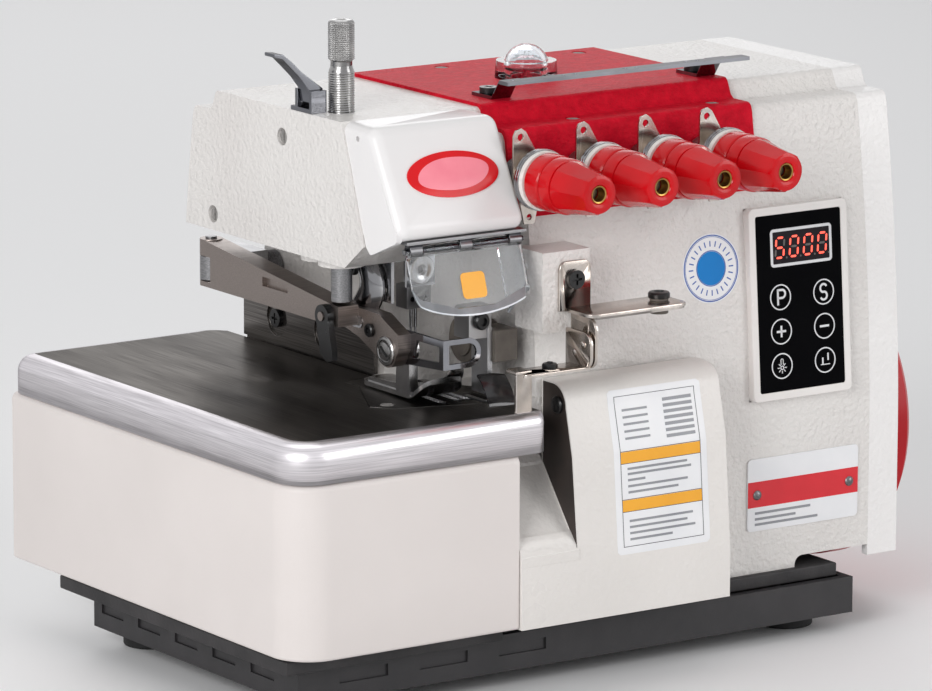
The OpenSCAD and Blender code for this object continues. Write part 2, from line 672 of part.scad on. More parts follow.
module thread_guide_bar() color([0.75, 0.76, 0.78]) difference() {
    union() {
        box([guide_bar_x[0] - 5.5, guide_bar_depth[1], guide_bar_top],
            [guide_bar_x[1] + 14, guide_bar_depth[0], guide_bar_top + 1.6]);
        for (x = guide_bar_x) along_x(x - 5, x + 5) polygon([
            [guide_bar_y + 5.5, z_top + cover_proud], [guide_bar_y + 5.5, z_top + cover_proud + 1.5],
            [guide_bar_y - 9.5, z_top + cover_proud + 1.5], [guide_bar_depth[0] + 1, guide_bar_top + 1.6],
            [guide_bar_depth[0] - 1, guide_bar_top + 1.6], [guide_bar_depth[0] - 1, guide_bar_top],
            [guide_bar_depth[0] + 1.8, guide_bar_top], [guide_bar_y - 8.8, z_top + cover_proud]]);
    }
    for (x = guide_bar_x) rod_z(x, guide_bar_y, z_top, z_top + 6, pan_shank + 2 * screw_gap);
    for (i = [0:3], side = [-1, 1]) rod_z(tension_x + 8 + i * tension_pitch + side * 3,
        (guide_bar_depth[0] + guide_bar_depth[1]) / 2, guide_bar_top - 1, guide_bar_top + 3, 2);
}

// ---- Tension units ----

module each_tension() for (i = [0:3]) translate([tension_x + i * tension_pitch, 0, tension_z]) children();

// Turns a shape drawn along +Z so that it runs forwards from a depth
module forwards(y) translate([0, y, 0]) rotate([90, 0, 0]) children();

module tension_studs() color([0.6, 0.6, 0.62]) each_tension() {
    forwards(y_front + 22) cylinder(d = stud_diameter, h = y_front + 22 - cap_plane + cap_length - 6);
    forwards(-half_depth(tension_z - 7) - cover_proud)
        cylinder(d = 14, h = -half_depth(tension_z - 7) - cover_proud - guide_plane - 1);
}

module tension_guides() color([0.7, 0.71, 0.73]) each_tension() difference() {
    union() {
        forwards(guide_plane + 1) linear_extrude(1) difference() {
            union() {
                circle(d = 17);
                rotate([0, 0, 15]) polygon([[-7.4, 4], [-3.2, 19], [-1.5, 21], [1.5, 21], [3.2, 19], [7.4, 4]]);
                polygon([[-6, -5], [-2.6, -20], [2.6, -20], [6, -5]]);
            }
            rotate([0, 0, 15]) translate([0, 17.6]) circle(d = 3);
            translate([0, -17]) circle(d = 2.6);
        }
        forwards(guide_plane) cylinder(d1 = 15, d2 = 21, h = guide_plane - disc_plane);
    }
    forwards(guide_plane + 2) cylinder(d = stud_diameter + 2 * screw_gap, h = 12);
    forwards(guide_plane - 1.2) cylinder(d1 = 12, d2 = 18, h = 6.3);
}

module tension_discs() color([0.78, 0.79, 0.8]) each_tension() for (i = [0, 1])
    forwards(disc_plane - i * 1.5) difference() {
        cylinder(d = disc_diameter, h = 1.3);
        translate([0, 0, i == 0 ? 0.7 : -0.1]) cylinder(d = disc_diameter - 5, h = 0.7);
        translate([0, 0, -1]) cylinder(d = stud_diameter + 2 * screw_gap, h = 4);
    }

module felt_washers() color([0.93, 0.92, 0.9]) each_tension() forwards(washer_plane + 0.2) difference() {
    cylinder(d = disc_diameter - 1, h = 2.5);
    translate([0, 0, -1]) cylinder(d = stud_diameter + 2 * screw_gap, h = 5);
}

// A cap: round skirt, groove, shoulder and an eight-sided tapering grip
module tension_cap(i) color([0.84, 0.12, 0.14]) translate([tension_x + i * tension_pitch, 0, tension_z])
    forwards(cap_plane) difference() {
        union() {
            cylinder(d = cap_diameter - 1, h = 9.2);
            cylinder(d = cap_diameter - 3, h = 12);
            translate([0, 0, 10]) cylinder(d1 = cap_diameter, d2 = cap_diameter - 1.6, h = 8);
            translate([0, 0, 18]) cylinder(d1 = cap_diameter - 2, d2 = 16.4, h = cap_length - 20);
            rotate([0, 0, 22.5]) translate([0, 0, cap_length - 2.4]) cylinder(d = 15.4, h = 2.4, $fn = 8);
        }
        translate([0, 0, -1]) cylinder(d = cap_bore, h = cap_length + 3);
        translate([0, 0, -1]) cylinder(d = cap_diameter - 6, h = cap_length - 16);
        translate([0, 0, cap_length - 6]) cylinder(d = 7.6, h = 10);
        translate([0, 5.4, cap_length - 1]) cylinder(d = 1.1, h = 3);
    }

module tension_cap_1() tension_cap(0);
module tension_cap_2() tension_cap(1);
module tension_cap_3() tension_cap(2);
module tension_cap_4() tension_cap(3);

// ---- Control panel and nameplate ----

panel_low = half_depth(panel_z - panel_height / 2);
panel_high = half_depth(panel_z + panel_height / 2);
panel_tilt = atan((panel_low - panel_high) / panel_height);
panel_seat = 1;
panel_rim = 3.6;
panel_film = 1.2;

// The panel's own frame: x across, z up along the sloping face, and -y outwards
module panel_place() translate([panel_x, -(panel_low + panel_high) / 2 + panel_seat, panel_z])
    rotate([-panel_tilt, 0, 0]) children();

module panel_frame() color([0.93, 0.92, 0.91]) panel_place() difference() {
    along_y(-panel_thickness, 0)
        rounded([-panel_width / 2, -panel_height / 2], [panel_width / 2, panel_height / 2], 2.5);
    along_y(-panel_thickness - 1, -panel_thickness + panel_film) rounded(
        [-panel_width / 2 + panel_rim, -panel_height / 2 + panel_rim],
        [panel_width / 2 - panel_rim, panel_height / 2 - panel_rim], 1);
}

module panel_face() color([0.03, 0.03, 0.04]) panel_place()
    along_y(-panel_thickness + 0.2, -panel_thickness + panel_film) rounded(
        [-panel_width / 2 + panel_rim, -panel_height / 2 + panel_rim],
        [panel_width / 2 - panel_rim, panel_height / 2 - panel_rim], 1);

module nameplate() color([0.93, 0.93, 0.95]) difference() {
    along_y(y_front - nameplate_sheet, y_front) rounded(
        [nameplate_x - nameplate_width / 2, nameplate_z - nameplate_height / 2],
        [nameplate_x + nameplate_width / 2, nameplate_z + nameplate_height / 2], 2);
    for (x = rivet_x) rod_y(x, y_front - 2, y_front + 1, nameplate_z, rivet_shank + 2 * screw_gap);
}

module nameplate_rivets() color([0.75, 0.75, 0.75]) for (x = rivet_x) {
    rod_y(x, y_front - nameplate_sheet - 0.8, y_front + 4, nameplate_z, rivet_shank);
    translate([x, y_front - nameplate_sheet, nameplate_z]) rotate([90, 0, 0]) rotate_extrude()
        polygon(concat([[0, 0]], [for (a = [0:15:90]) [rivet_head / 2 * cos(a), 1.3 * sin(a)]]));
}

// ---- Screws ----

head_screws = [[-3.2, z_top - 12.5], [51.8, z_head + 7]];

module black_screws() color([0.06, 0.06, 0.06]) {
    for (x = guide_bar_x) translate([x, guide_bar_y, z_top + cover_proud + 1.5]) pan_screw(9);
    for (y = guard_screw_y) translate([x_column - 0.8, y, guard_screw_z]) rotate([0, -90, 0]) pan_screw(9);
    translate([guide_screw_x, boss_front - guide_sheet, guide_z + 14]) rotate([90, 0, 0]) pan_screw(9);
}

module steel_screws() color([0.5, 0.5, 0.5]) {
    for (x = top_cover_screw_x) {
        translate([x, 40, z_top - 0.4]) flat_screw(1.6);
        translate([x, -59, z_ledge - 0.4]) flat_screw(1.6);
    }
    for (spot = end_screws) translate([x_right - 2, spot[0], spot[1]]) rotate([0, 90, 0]) flat_screw(22);
    for (spot = throat_screws) translate([spot[0], spot[1], z_plate - 1.6]) flat_screw(8);
    for (spot = head_screws) translate([x_head + 2.6, spot[0], spot[1]]) rotate([0, -90, 0]) flat_screw(6);
}

// ---- Shaft, motor and handwheel ----

module motor_stator() color([0.35, 0.36, 0.38]) difference() {
    rod_x(motor_x, motor_x + motor_length, 0, z_shaft, motor_diameter);
    rod_x(motor_x - 1, motor_x + motor_length + 1, 0, z_shaft, rotor_diameter + 1.2);
}

module motor_rotor() color([0.55, 0.56, 0.58]) difference() {
    rod_x(motor_x + 3, motor_x + motor_length - 3, 0, z_shaft, rotor_diameter);
    rod_x(motor_x - 1, motor_x + motor_length + 1, 0, z_shaft, shaft_diameter);
}

eccentrics = [x_left + 36, x_left + 52, x_arm + 34, x_arm + 74];
eccentric_throw = 4;

module main_shaft() color([0.6, 0.61, 0.63]) {
    rod_x(x_left + 16.5, x_right + 2.5 + wheel_width, 0, z_shaft, shaft_diameter);
    for (i = [0:3]) rod_x(eccentrics[i], eccentrics[i] + 9, eccentric_throw * cos(90 * i),
        z_shaft + eccentric_throw * sin(90 * i), 2 * shaft_diameter + 2);
}

module bearing_bushes() color([0.72, 0.58, 0.3]) {
    for (seat = shaft_bushes) difference() {
        rod_x(seat[0], seat[0] + seat[1], 0, z_shaft, shaft_diameter + 2 * bush_wall);
        rod_x(seat[0] - 1, seat[0] + seat[1] + 1, 0, z_shaft, shaft_diameter + 2 * running_gap);
    }
    for (ends = [[z_head - 3, z_head + 8], [z_head + 24, z_head + 32]]) difference() {
        rod_z(needle_x, needle_y, ends[0], ends[1], needle_bar_diameter + 2 * bar_bush_wall);
        rod_z(needle_x, needle_y, ends[0] - 1, ends[1] + 1, needle_bar_diameter + 2 * running_gap);
    }
}

module handwheel() color([0.8, 0.1, 0.14]) translate([x_right + 2.5, 0, z_shaft]) rotate([0, 90, 0])
    rotate_extrude($fn = 96) polygon([
        [shaft_diameter / 2, -1.5], [15, -1.5], [18, 3], [wheel_diameter / 2 - 13, 4], [wheel_diameter / 2 - 11, 0.6],
        [wheel_diameter / 2 - 2.5, 0], [wheel_diameter / 2, 2.5], [wheel_diameter / 2, wheel_width - 4],
        [wheel_diameter / 2 - 4, wheel_width], [wheel_diameter / 2 - 9, wheel_width - 0.5],
        [wheel_diameter / 2 - 13, 9], [22, 9], [18, wheel_width - 1], [shaft_diameter / 2, wheel_width - 1]]);

// ---- Stitch area ----

main_dog = [needle_y + 5, needle_y + 17.6];
front_dog = [foot_toe - 8, foot_toe + 8];
feed_travel = 2;
knife_slot = [[blade_x - 1.5, foot_toe - 17], [blade_x + 5.9, foot_toe + 3]];

module throat_plate() color([0.78, 0.78, 0.77]) difference() {
    along_z(z_bed, z_plate) difference() {
        polygon(throat_outline);
        translate([needle_x - 2.8, needle_y - 1.5]) square([5.6, 3]);
        for (row = feed_rows, dog = [main_dog, front_dog])
            translate([needle_x + row - feed_row_width / 2 - 0.5, dog[0] - feed_travel - 0.5])
                square([feed_row_width + 1, dog[1] - dog[0] + 2 * feed_travel + 1]);
        translate(knife_slot[0]) square(knife_slot[1] - knife_slot[0]);
        for (spot = throat_screws) translate(spot) circle(d = flat_shank + 2 * screw_gap);
    }
    for (spot = throat_screws) rod_z(spot[0], spot[1], z_plate - 1.6, z_plate + 1, flat_head + 0.4);
}

// A row of feed teeth that slope up to the front
module feed_row(x, low, high) {
    teeth = floor((high - low) / 1.8);
    pitch = (high - low) / teeth;
    along_x(x - feed_row_width / 2, x + feed_row_width / 2) polygon(concat(
        [[high, z_plate - 6], [low, z_plate - 6]],
        [for (i = [0:teeth - 1], part = [0, 1])
            [low + (i + part) * pitch - (part == 1 ? 0.1 : 0), z_plate + tooth_rise - part * 0.8]]));
}

module main_feed_dog() color([0.55, 0.55, 0.56]) {
    for (row = feed_rows) feed_row(needle_x + row, main_dog[0], main_dog[1]);
    box([needle_x - 6.5, main_dog[0], z_plate - 8], [needle_x + 9, main_dog[1], z_plate - 5]);
    box([main_bar_x, main_dog[1] - 8, main_bar_z], [main_bar_x + 6, main_dog[1], z_plate - 7]);
    box([main_bar_x, main_dog[1] - 8, main_bar_z], [main_bar_x + 6, 10, main_bar_z + 5]);
}

module differential_feed_dog() color([0.5, 0.5, 0.51]) {
    for (row = feed_rows) feed_row(needle_x + row, front_dog[0], front_dog[1]);
    box([front_bar_x, front_dog[0], z_plate - 8], [needle_x + 9, front_dog[1], z_plate - 5]);
    box([front_bar_x, front_dog[0] + 4, front_bar_z], [front_bar_x + 5, front_dog[0] + 12, z_plate - 7]);
    box([front_bar_x, front_dog[0] + 4, front_bar_z], [front_bar_x + 5, 10, front_bar_z + 5]);
}

module lower_knife() color([0.62, 0.62, 0.63]) {
    box([blade_x, knife_front, z_plate - 24], [blade_x + knife_sheet, knife_front + knife_depth + 2, z_plate]);
    box([blade_x - 1.5, y_front + 3, z_plate - 24], [blade_x + 4.5, knife_front + 2, z_plate - 8]);
}

clamp_bottom = z_plate + 11.4 + needle_stroke;
needle_reach = 21.4;
clamp_height = 10;

module needle_bar() color([0.68, 0.69, 0.7])
    rod_z(needle_x, needle_y, clamp_bottom + clamp_height, z_top - 7, needle_bar_diameter);

module needle_clamp() color([0.4, 0.4, 0.41]) difference() {
    box([needle_x - 6, needle_y - 4.4, clamp_bottom], [needle_x + 6, needle_y + 4, clamp_bottom + clamp_height]);
    for (side = [-1, 1]) rod_y(needle_x + side * 3, needle_y - 5, needle_y - 2.4, clamp_bottom + 4, 2.4);
}

module needles() color([0.75, 0.75, 0.76]) for (side = [-1, 1])
    translate([needle_x + side * needle_pitch / 2, needle_y, clamp_bottom]) mirror([0, 0, 1]) {
        cylinder(d = 1.6, h = 9);
        cylinder(d = 1, h = needle_reach);
        translate([0, 0, needle_reach]) cylinder(d1 = 1, d2 = 0.3, h = 2.5);
    }

// The lower looper: hub and lever on its pin, and a curved blade with its point to the right
module lower_looper() color([0.6, 0.6, 0.61]) difference() {
    union() {
        rod_y(lower_looper_x, -46, -38, looper_z, 18);
        along_y(-46, -40) polygon([for (p = [[-5.5, 0], [5.5, 0], [4, 36], [-4.5, 38]])
            [lower_looper_x + p[0], looper_z + p[1]]]);
        along_y(-40.2, -37.7) polygon([for (p = [[-4.5, 26], [2, 26], [4, 33], [10, 38], [18, 43], [8, 41.8], [-2, 38],
            [-4.5, 33]]) [lower_looper_x + p[0], looper_z + p[1]]]);
    }
    rod_y(lower_looper_x, -47, -37, looper_z, looper_pin_diameter + 2 * running_gap);
}

module upper_looper() color([0.6, 0.6, 0.61]) difference() {
    union() {
        rod_y(upper_looper_x, -56, -48, looper_z, 18);
        along_y(-56, -50) polygon([for (p = [[-5.5, 0], [5.5, 0], [-1, 33], [-9, 35]])
            [upper_looper_x + p[0], looper_z + p[1]]]);
        along_y(-53, -50.4) polygon([for (p = [[-7, 26], [-2, 30], [-4, 37], [-10, 41], [-16, 42], [-10, 38.5], [-8.5, 33]])
            [upper_looper_x + p[0], looper_z + p[1]]]);
    }
    rod_y(upper_looper_x, -57, -47, looper_z, looper_pin_diameter + 2 * running_gap);
}

axle_end = arm_x + arm_width + 1;

module pivot_pins() color([0.28, 0.28, 0.29]) {
    rod_y(lower_looper_x, -46.3, -8.5, looper_z, looper_pin_diameter);
    rod_y(lower_looper_x, -48, -46.3, looper_z, 13);
    rod_y(lower_looper_x, -37.7, -12, looper_z, 13);
    rod_y(upper_looper_x, -56.3, knife_pin_y + casting_wall, looper_z, looper_pin_diameter);
    rod_y(upper_looper_x, -58, -56.3, looper_z, 13);
    rod_y(upper_looper_x, -47.7, knife_pin_y, looper_z, 13);
    rod_x(x_recess - 16.5, x_recess + casting_wall, knife_pin_y, knife_pin_z, knife_pin_diameter);
    rod_x(axle_end, x_neck + 14, lift_y, lift_z, lift_pin_diameter);
    rod_z(plate_hinge[0], plate_hinge[1], z_bed - 24, z_plate - plate_sheet - 1, hinge_pin_diameter);
    for (x = cover_lug_x) rod_x(x, x + 2 * cover_lug + moving_gap + 1, cover_hinge[0], cover_hinge[1],
        cover_pin_diameter);
    rod_z(guide_pivot[0], guide_pivot[1], guide_z - guide_sheet - 2, guide_z + guide_sheet + 0.5, 4);
    rod_z(guide_pivot[0], guide_pivot[1], guide_z - guide_sheet - 2, guide_z - guide_sheet - moving_gap, 8);
    rod_z(guide_pivot[0], guide_pivot[1], guide_z + guide_sheet + 0.5, guide_z + guide_sheet + 2.5, 8);
}

// ---- Upper knife ----

hub_x = [x_recess - 15.5, x_recess - 5.5];

module upper_knife() color([0.6, 0.6, 0.62])
    box([blade_x + knife_sheet + 0.2, knife_front, z_plate + 2],
        [blade_x + 2 * knife_sheet + 0.2, knife_front + knife_depth, knife_pin_z + 10]);

module knife_arm() color([0.45, 0.45, 0.46]) difference() {
    union() {
        rod_x(hub_x[0], hub_x[1], knife_pin_y, knife_pin_z, knife_pin_diameter + 6);
        box([hub_x[0], knife_front + 6, knife_pin_z - 6], [hub_x[1] - 3, knife_pin_y, knife_pin_z + 7]);
        box([blade_x + 2 * knife_sheet + 0.2, knife_front - 2, knife_pin_z - 5],
            [hub_x[1] - 1, knife_front + knife_depth, knife_pin_z + 8.5]);
    }
    rod_x(hub_x[0] - 1, hub_x[1] + 1, knife_pin_y, knife_pin_z, knife_pin_diameter + 2 * running_gap);
}

// ---- Presser ----

beam_front = screw_y - 5;
bar_right = arm_x + arm_width + 6.3;
bar_front = foot_pivot_y - 8.6;
cheek = 2.2;
lock_y = screw_y + 2;
lock_z = arm_bottom + 4;
foot_pin_diameter = 5;
lock_pin_diameter = 4;

module presser_arm() color([0.62, 0.63, 0.64]) difference() {
    union() {
        along_x(arm_x, arm_x + arm_width) polygon([
            [arm_back, arm_bottom], [arm_back, arm_bottom + arm_height], [screw_y + 4, arm_bottom + 9.4],
            [beam_front, arm_bottom + 8.6], [beam_front, arm_bottom]]);
        rod_z(screw_x, arm_back, arm_bottom, arm_bottom + arm_height, arm_width);
        along_x(arm_x + arm_width, bar_right) polygon([
            [needle_y + 26, arm_bottom], [needle_y + 26, arm_bottom + arm_front_height],
            [foot_pivot_y + 6, arm_bottom + arm_front_height - 1], [bar_front, foot_pivot_z + 8],
            [bar_front, foot_pivot_z + 1], [foot_pivot_y - 4, foot_pivot_z - 5],
            [foot_pivot_y + 4, foot_pivot_z - 5], [needle_y + 4, arm_bottom - 5]]);
        rod_x(arm_x + arm_width, bar_right, foot_pivot_y, foot_pivot_z, 14);
        rod_x(bar_right - 1, bar_right + 8, foot_pivot_y, foot_pivot_z, foot_pin_diameter);
        rod_x(arm_x - 4.6, arm_x + 1, lock_y, lock_z, lock_pin_diameter);
    }
    box([arm_x - 1, arm_back - 7, arm_bottom + cheek], [bar_right, arm_back + 9, arm_bottom + cheek + 11.1]);
    rod_z(screw_x, arm_back, arm_bottom - 1, arm_bottom + arm_height + 1, swing_pin_diameter + 2 * running_gap);
    box([arm_x - 1, 8, arm_bottom + 8], [arm_x + 2, 28, arm_bottom + 12]);
    rod_x(bar_right - 2, bar_right + 1, needle_y + 5, arm_bottom - 1, 5);
}

module arm_pivot_block() color([0.5, 0.51, 0.52]) difference() {
    union() {
        box([axle_end, lift_y - 8, arm_bottom - 1], [axle_end + 11, lift_y + 18, arm_bottom + 16.5]);
        rod_x(axle_end, x_neck - moving_gap, lift_y, lift_z, lift_pin_diameter + 6);
        box([screw_x, arm_back - 5, arm_bottom + cheek + 0.3], [axle_end + 1, arm_back + 5, arm_bottom + cheek + 10.8]);
        rod_z(screw_x, arm_back, arm_bottom + cheek + 0.3, arm_bottom + cheek + 10.8, arm_width);
        rod_z(screw_x, arm_back, arm_bottom, arm_bottom + arm_height + 1, swing_pin_diameter);
    }
    rod_x(axle_end - 10, x_neck + 1, lift_y, lift_z, lift_pin_diameter + 2 * running_gap);
}

module arm_lock_lever() color([0.07, 0.07, 0.07]) difference() {
    union() {
        rod_x(arm_x - 4, arm_x - 0.3, lock_y, lock_z, 10);
        along_x(arm_x - 4, arm_x - 1) polygon([for (p = [[-4.5, 0], [4.5, 0], [1, -16], [-4, -19], [-8, -18], [-8, -14]])
            [lock_y + p[0], lock_z + p[1]]]);
    }
    rod_x(arm_x - 5, arm_x + 1, lock_y, lock_z, lock_pin_diameter + 2 * running_gap);
}

sole_z = z_plate + foot_gap;
foot_right = foot_x + 10;
foot_left = foot_right - foot_width - 2;
shank_left = bar_right + 1.6;

module presser_foot() color([0.74, 0.73, 0.71]) difference() {
    union() {
        along_z(sole_z, sole_z + foot_sole) polygon([
            [foot_left, foot_toe + 4], [foot_left + 3, foot_toe], [foot_right - 5, foot_toe],
            [foot_right, foot_toe + 7], [foot_right, foot_toe + 22], [foot_right - 4, foot_toe + 26],
            [foot_right - 4, foot_toe + foot_length - 5], [foot_right - 7, foot_toe + foot_length],
            [foot_left + 5, foot_toe + foot_length],
            [foot_left, foot_toe + foot_length - 7]]);
        box([shank_left, foot_toe, sole_z + 1], [bar_right + 6.5, foot_toe + 10, foot_pivot_z]);
        rod_x(shank_left, bar_right + 6.5, foot_pivot_y, foot_pivot_z, 12);
    }
    rod_x(bar_right, bar_right + 7, foot_pivot_y, foot_pivot_z, foot_pin_diameter + 2 * running_gap);
    box([needle_x - 3.4, needle_y - 3.4, sole_z - 1], [needle_x + 3.4, needle_y + 4.6, sole_z + 9]);
    box([needle_x + 0.5, needle_y - 12, sole_z - 1], [needle_x + 1.9, needle_y + 13, sole_z + foot_sole + 1]);
    along_x(foot_left - 2, foot_right + 1)
        polygon([[foot_toe - 1, sole_z - 1], [foot_toe + 6, sole_z - 0.01], [foot_toe - 1, sole_z + 2]]);
}

module presser_plunger() color([0.66, 0.67, 0.68])
    rod_z(screw_x, screw_y, plunger_foot, z_top - 38, plunger_diameter);

guard_sheet = 1.3;
guard_front = foot_toe - 27.8;
guard_top = foot_pivot_z + 9;

// A plate on the arm's side with a window, and a flat loop across its front edge
module finger_guard() color([0.74, 0.75, 0.76]) {
    along_x(bar_right, bar_right + guard_sheet) difference() {
        polygon([[foot_toe + 9, foot_pivot_z - 6], [foot_toe + 9, guard_top], [guard_front, guard_top],
            [guard_front, foot_pivot_z - 3.5]]);
        translate([foot_pivot_y, foot_pivot_z]) circle(d = foot_pin_diameter + 2 * screw_gap);
        polygon([[foot_toe - 5, foot_pivot_z - 2], [foot_toe - 8, guard_top - 3], [guard_front + 3, guard_top - 3],
            [guard_front + 3, foot_pivot_z - 0.5]]);
    }
    along_y(guard_front, guard_front + guard_sheet) difference() {
        guard_loop(0);
        guard_loop(2.2);
    }
}

module guard_loop(inset) polygon(concat(
    [[bar_right + (inset > 0 ? 3 : 0), foot_pivot_z - 3.5 + inset], [bar_right + (inset > 0 ? 3 : 0), guard_top - inset]],
    arc(bar_right + 12.7, guard_top - 6.25, 6.25 - inset, 90, -90, 12)));

// ---- Guards under the head ----

eyelet_y = head_front(z_recess) - 3;

module take_up_guard() color([0.76, 0.77, 0.78]) difference() {
    union() {
        box([needle_x - 17.6, needle_y - 10, z_plate + 40], [needle_x - 16.1, needle_y + 3.6, z_head]);
        box([needle_x - 17.6, needle_y - 10, z_head - 1.5], [needle_x - 8, needle_y + 3.6, z_head]);
        box([needle_x - 24, eyelet_y, z_plate + 51], [needle_x - 10, eyelet_y + 1.2, z_recess]);
    }
    rod_y(needle_x - 17, eyelet_y - 1, eyelet_y + 2, z_plate + 58, 4);
    rod_x(needle_x - 18, needle_x - 15, needle_y - 5, z_plate + 45, 3);
}

module visor_rail() color([0.3, 0.3, 0.31]) {
    box([visor_x, visor_hinge[0] - 3, z_recess - 1.4], [visor_x + visor_length, visor_hinge[0] + 4, z_recess]);
    for (x = visor_lug_x) {
        box([x, visor_hinge[0] - 2, visor_hinge[1]], [x + 6, visor_hinge[0] + 2, z_recess - 1]);
        rod_x(x, x + 6, visor_hinge[0], visor_hinge[1], 5.4);
    }
    rod_x(visor_x, visor_x + visor_length, visor_hinge[0], visor_hinge[1], visor_pin_diameter);
}

visor_tilt = 18;
visor_drop = [20, 28, 20];

module visor() color([0.8, 0.84, 0.88, 0.35]) difference() {
    translate([0, visor_hinge[0], visor_hinge[1]]) {
        rod_x(visor_x, visor_x + visor_length, 0, 0, 5.4);
        rotate([-visor_tilt, 0, 0]) along_y(-2.2, -2.2 + visor_sheet) polygon([
            [visor_x, 0], [visor_x + visor_length, 0], [visor_x + visor_length, -visor_drop[2]],
            [visor_x + visor_length * 0.62, -visor_drop[1]], [visor_x + visor_length * 0.3, -visor_drop[1]],
            [visor_x, -visor_drop[0]]]);
        along_x(visor_x + visor_length - visor_sheet, visor_x + visor_length) polygon([
            [-1.8, 0], [21.5, -3], [23.5, -12], [13.5, -36], [-4.4, -32], [-8.3, -19]]);
    }
    rod_x(visor_x - 1, visor_x + visor_length + 1, visor_hinge[0], visor_hinge[1],
        visor_pin_diameter + 2 * running_gap);
    for (x = visor_lug_x) box([x - moving_gap, visor_hinge[0] - 3.2, visor_hinge[1] - 3.2],
        [x + 6 + moving_gap, visor_hinge[0] + 3.2, visor_hinge[1] + 3.2]);
}

// ---- Fabric guide ----

guide_x = boss_x + 13;

module guide_bracket() color([0.75, 0.76, 0.77]) difference() {
    union() {
        box([boss_x + 7.7, boss_front - guide_sheet, guide_z + 0.5], [boss_x + 23.7, boss_front, guide_z + 21.7]);
        box([boss_x + 10.5, boss_front - 20, guide_z + 0.5], [boss_x + 61.5, boss_front, guide_z + 0.5 + guide_sheet]);
    }
    rod_y(guide_screw_x, boss_front - 3, boss_front + 1, guide_z + 14, pan_shank + 2 * screw_gap);
    box([guide_screw_x - 2.1, boss_front - 3, guide_z + 14], [guide_screw_x + 2.1, boss_front + 1, guide_z + 18]);
    rod_z(guide_pivot[0], guide_pivot[1], guide_z, guide_z + 3, 4);
}

module guide_arm() color([0.76, 0.77, 0.78]) difference() {
    union() {
        box([guide_x, boss_front - 16.5, guide_z - 1.3], [guide_pivot[0] + 6, boss_front - 2.5, guide_z + 0.2]);
        rod_z(guide_pivot[0] + 4.5, guide_pivot[1], guide_z - 1.3, guide_z + 0.2, 14);
        for (x = [guide_x - 2.5, guide_x]) box([x, boss_front - 20, guide_z - 22],
            [x + guide_sheet, boss_front - 1.5, guide_z - (x == guide_x ? 0 : 6)]);
        box([guide_x - 1.2, boss_front - 14, guide_z - 20], [guide_x + 0.2, boss_front - 8, guide_z - 8]);
        box([guide_x - 33, boss_front - 17, guide_z - 22], [guide_x, boss_front - 4, guide_z - 20.5]);
        box([guide_x - 36.5, boss_front - 15, guide_z - 37], [guide_x - 28.5, boss_front - 13.5, guide_z - 19]);
        box([guide_x - 36.5, boss_front - 15, guide_z - 20.5], [guide_x - 28.5, boss_front - 6, guide_z - 19]);
    }
    rod_z(guide_pivot[0], guide_pivot[1], guide_z - 3, guide_z + 3, 4 + 2 * running_gap);
    rod_z(guide_x - 16.5, boss_front - 10.5, guide_z - 23, guide_z - 18, 4.5);
}

// ---- Cloth plate and covers ----

// The cloth plate's outline, drawn in by inset at its front, left and back
function plate_outline(inset) = concat(
    arc(plate_right - 12, y_plate_back - 12, 12 - inset, 0, 90, 8),
    arc(x_left + plate_back_corner, y_plate_back - plate_back_corner, plate_back_corner - inset, 90, 180, 8),
    arc(x_left + plate_corner, y_plate_front + plate_corner, plate_corner - inset, 180, 270, 8),
    arc(plate_front_right - 4, y_plate_front + 4, 4 - inset, 270, 360, 4),
    [[plate_front_right - inset, foot_toe - 2], [plate_right - inset, foot_toe - 2]]);

module cloth_plate() color([0.77, 0.77, 0.76]) difference() {
    union() {
        difference() {
            along_z(z_rim, z_plate) polygon(plate_outline(0));
            along_z(z_rim - 1, z_plate - plate_sheet) polygon(plate_outline(plate_sheet));
            box([plate_right - plate_sheet - 1, y_plate_front + 8, z_rim - 1],
                [plate_front_right + 1, y_plate_back - 14, z_plate - plate_sheet]);
        }
        rod_z(plate_hinge[0], plate_hinge[1], z_rim - 0.6, z_plate - 1, hinge_pin_diameter + 8);
    }
    along_z(z_rim - 1, z_plate + 1) polygon(grown(throat_outline, moving_gap));
    rod_z(plate_hinge[0], plate_hinge[1], z_rim - 2, z_plate - plate_sheet - 0.5,
        hinge_pin_diameter + 2 * running_gap);
}

function cover_corner(inset) = arc(x_left + 18, y_plate_front + 18, 18 - inset, 180, 270, 10);

module plate_cover() color([0.91, 0.89, 0.88]) difference() {
    along_z(z_body + moving_gap, z_rim) polygon(concat(
        [[x_left, y_plate_back - 1]], cover_corner(0), [[x_arm, y_plate_front]],
        [[x_arm, y_plate_front + plate_cover_wall]], reversed(cover_corner(plate_cover_wall)),
        [[x_left + plate_cover_wall, y_plate_back - 1]]));
}

module column_guard() color([0.8, 0.8, 0.79]) difference() {
    box([x_column - 2, column_front - 1.4, z_plate + 0.5], [x_column, y_body + 19.5, z_column - 3]);
    for (y = guard_screw_y) {
        rod_x(x_column - 3, x_column - 0.8, y, guard_screw_z, 16);
        rod_x(x_column - 3, x_column + 1, y, guard_screw_z, pan_shank + 2 * screw_gap);
    }
}

// The front cover's face, from the foot up and over to the top, moved inwards by inset
function front_line(inset) = concat(
    [[front_cover_front + inset, z_body + 20], [front_cover_front + 4.2 + inset, z_body + 70]],
    arc(front_cover_front + 19, z_cover - 10, 10 - inset, 180, 90, 6));

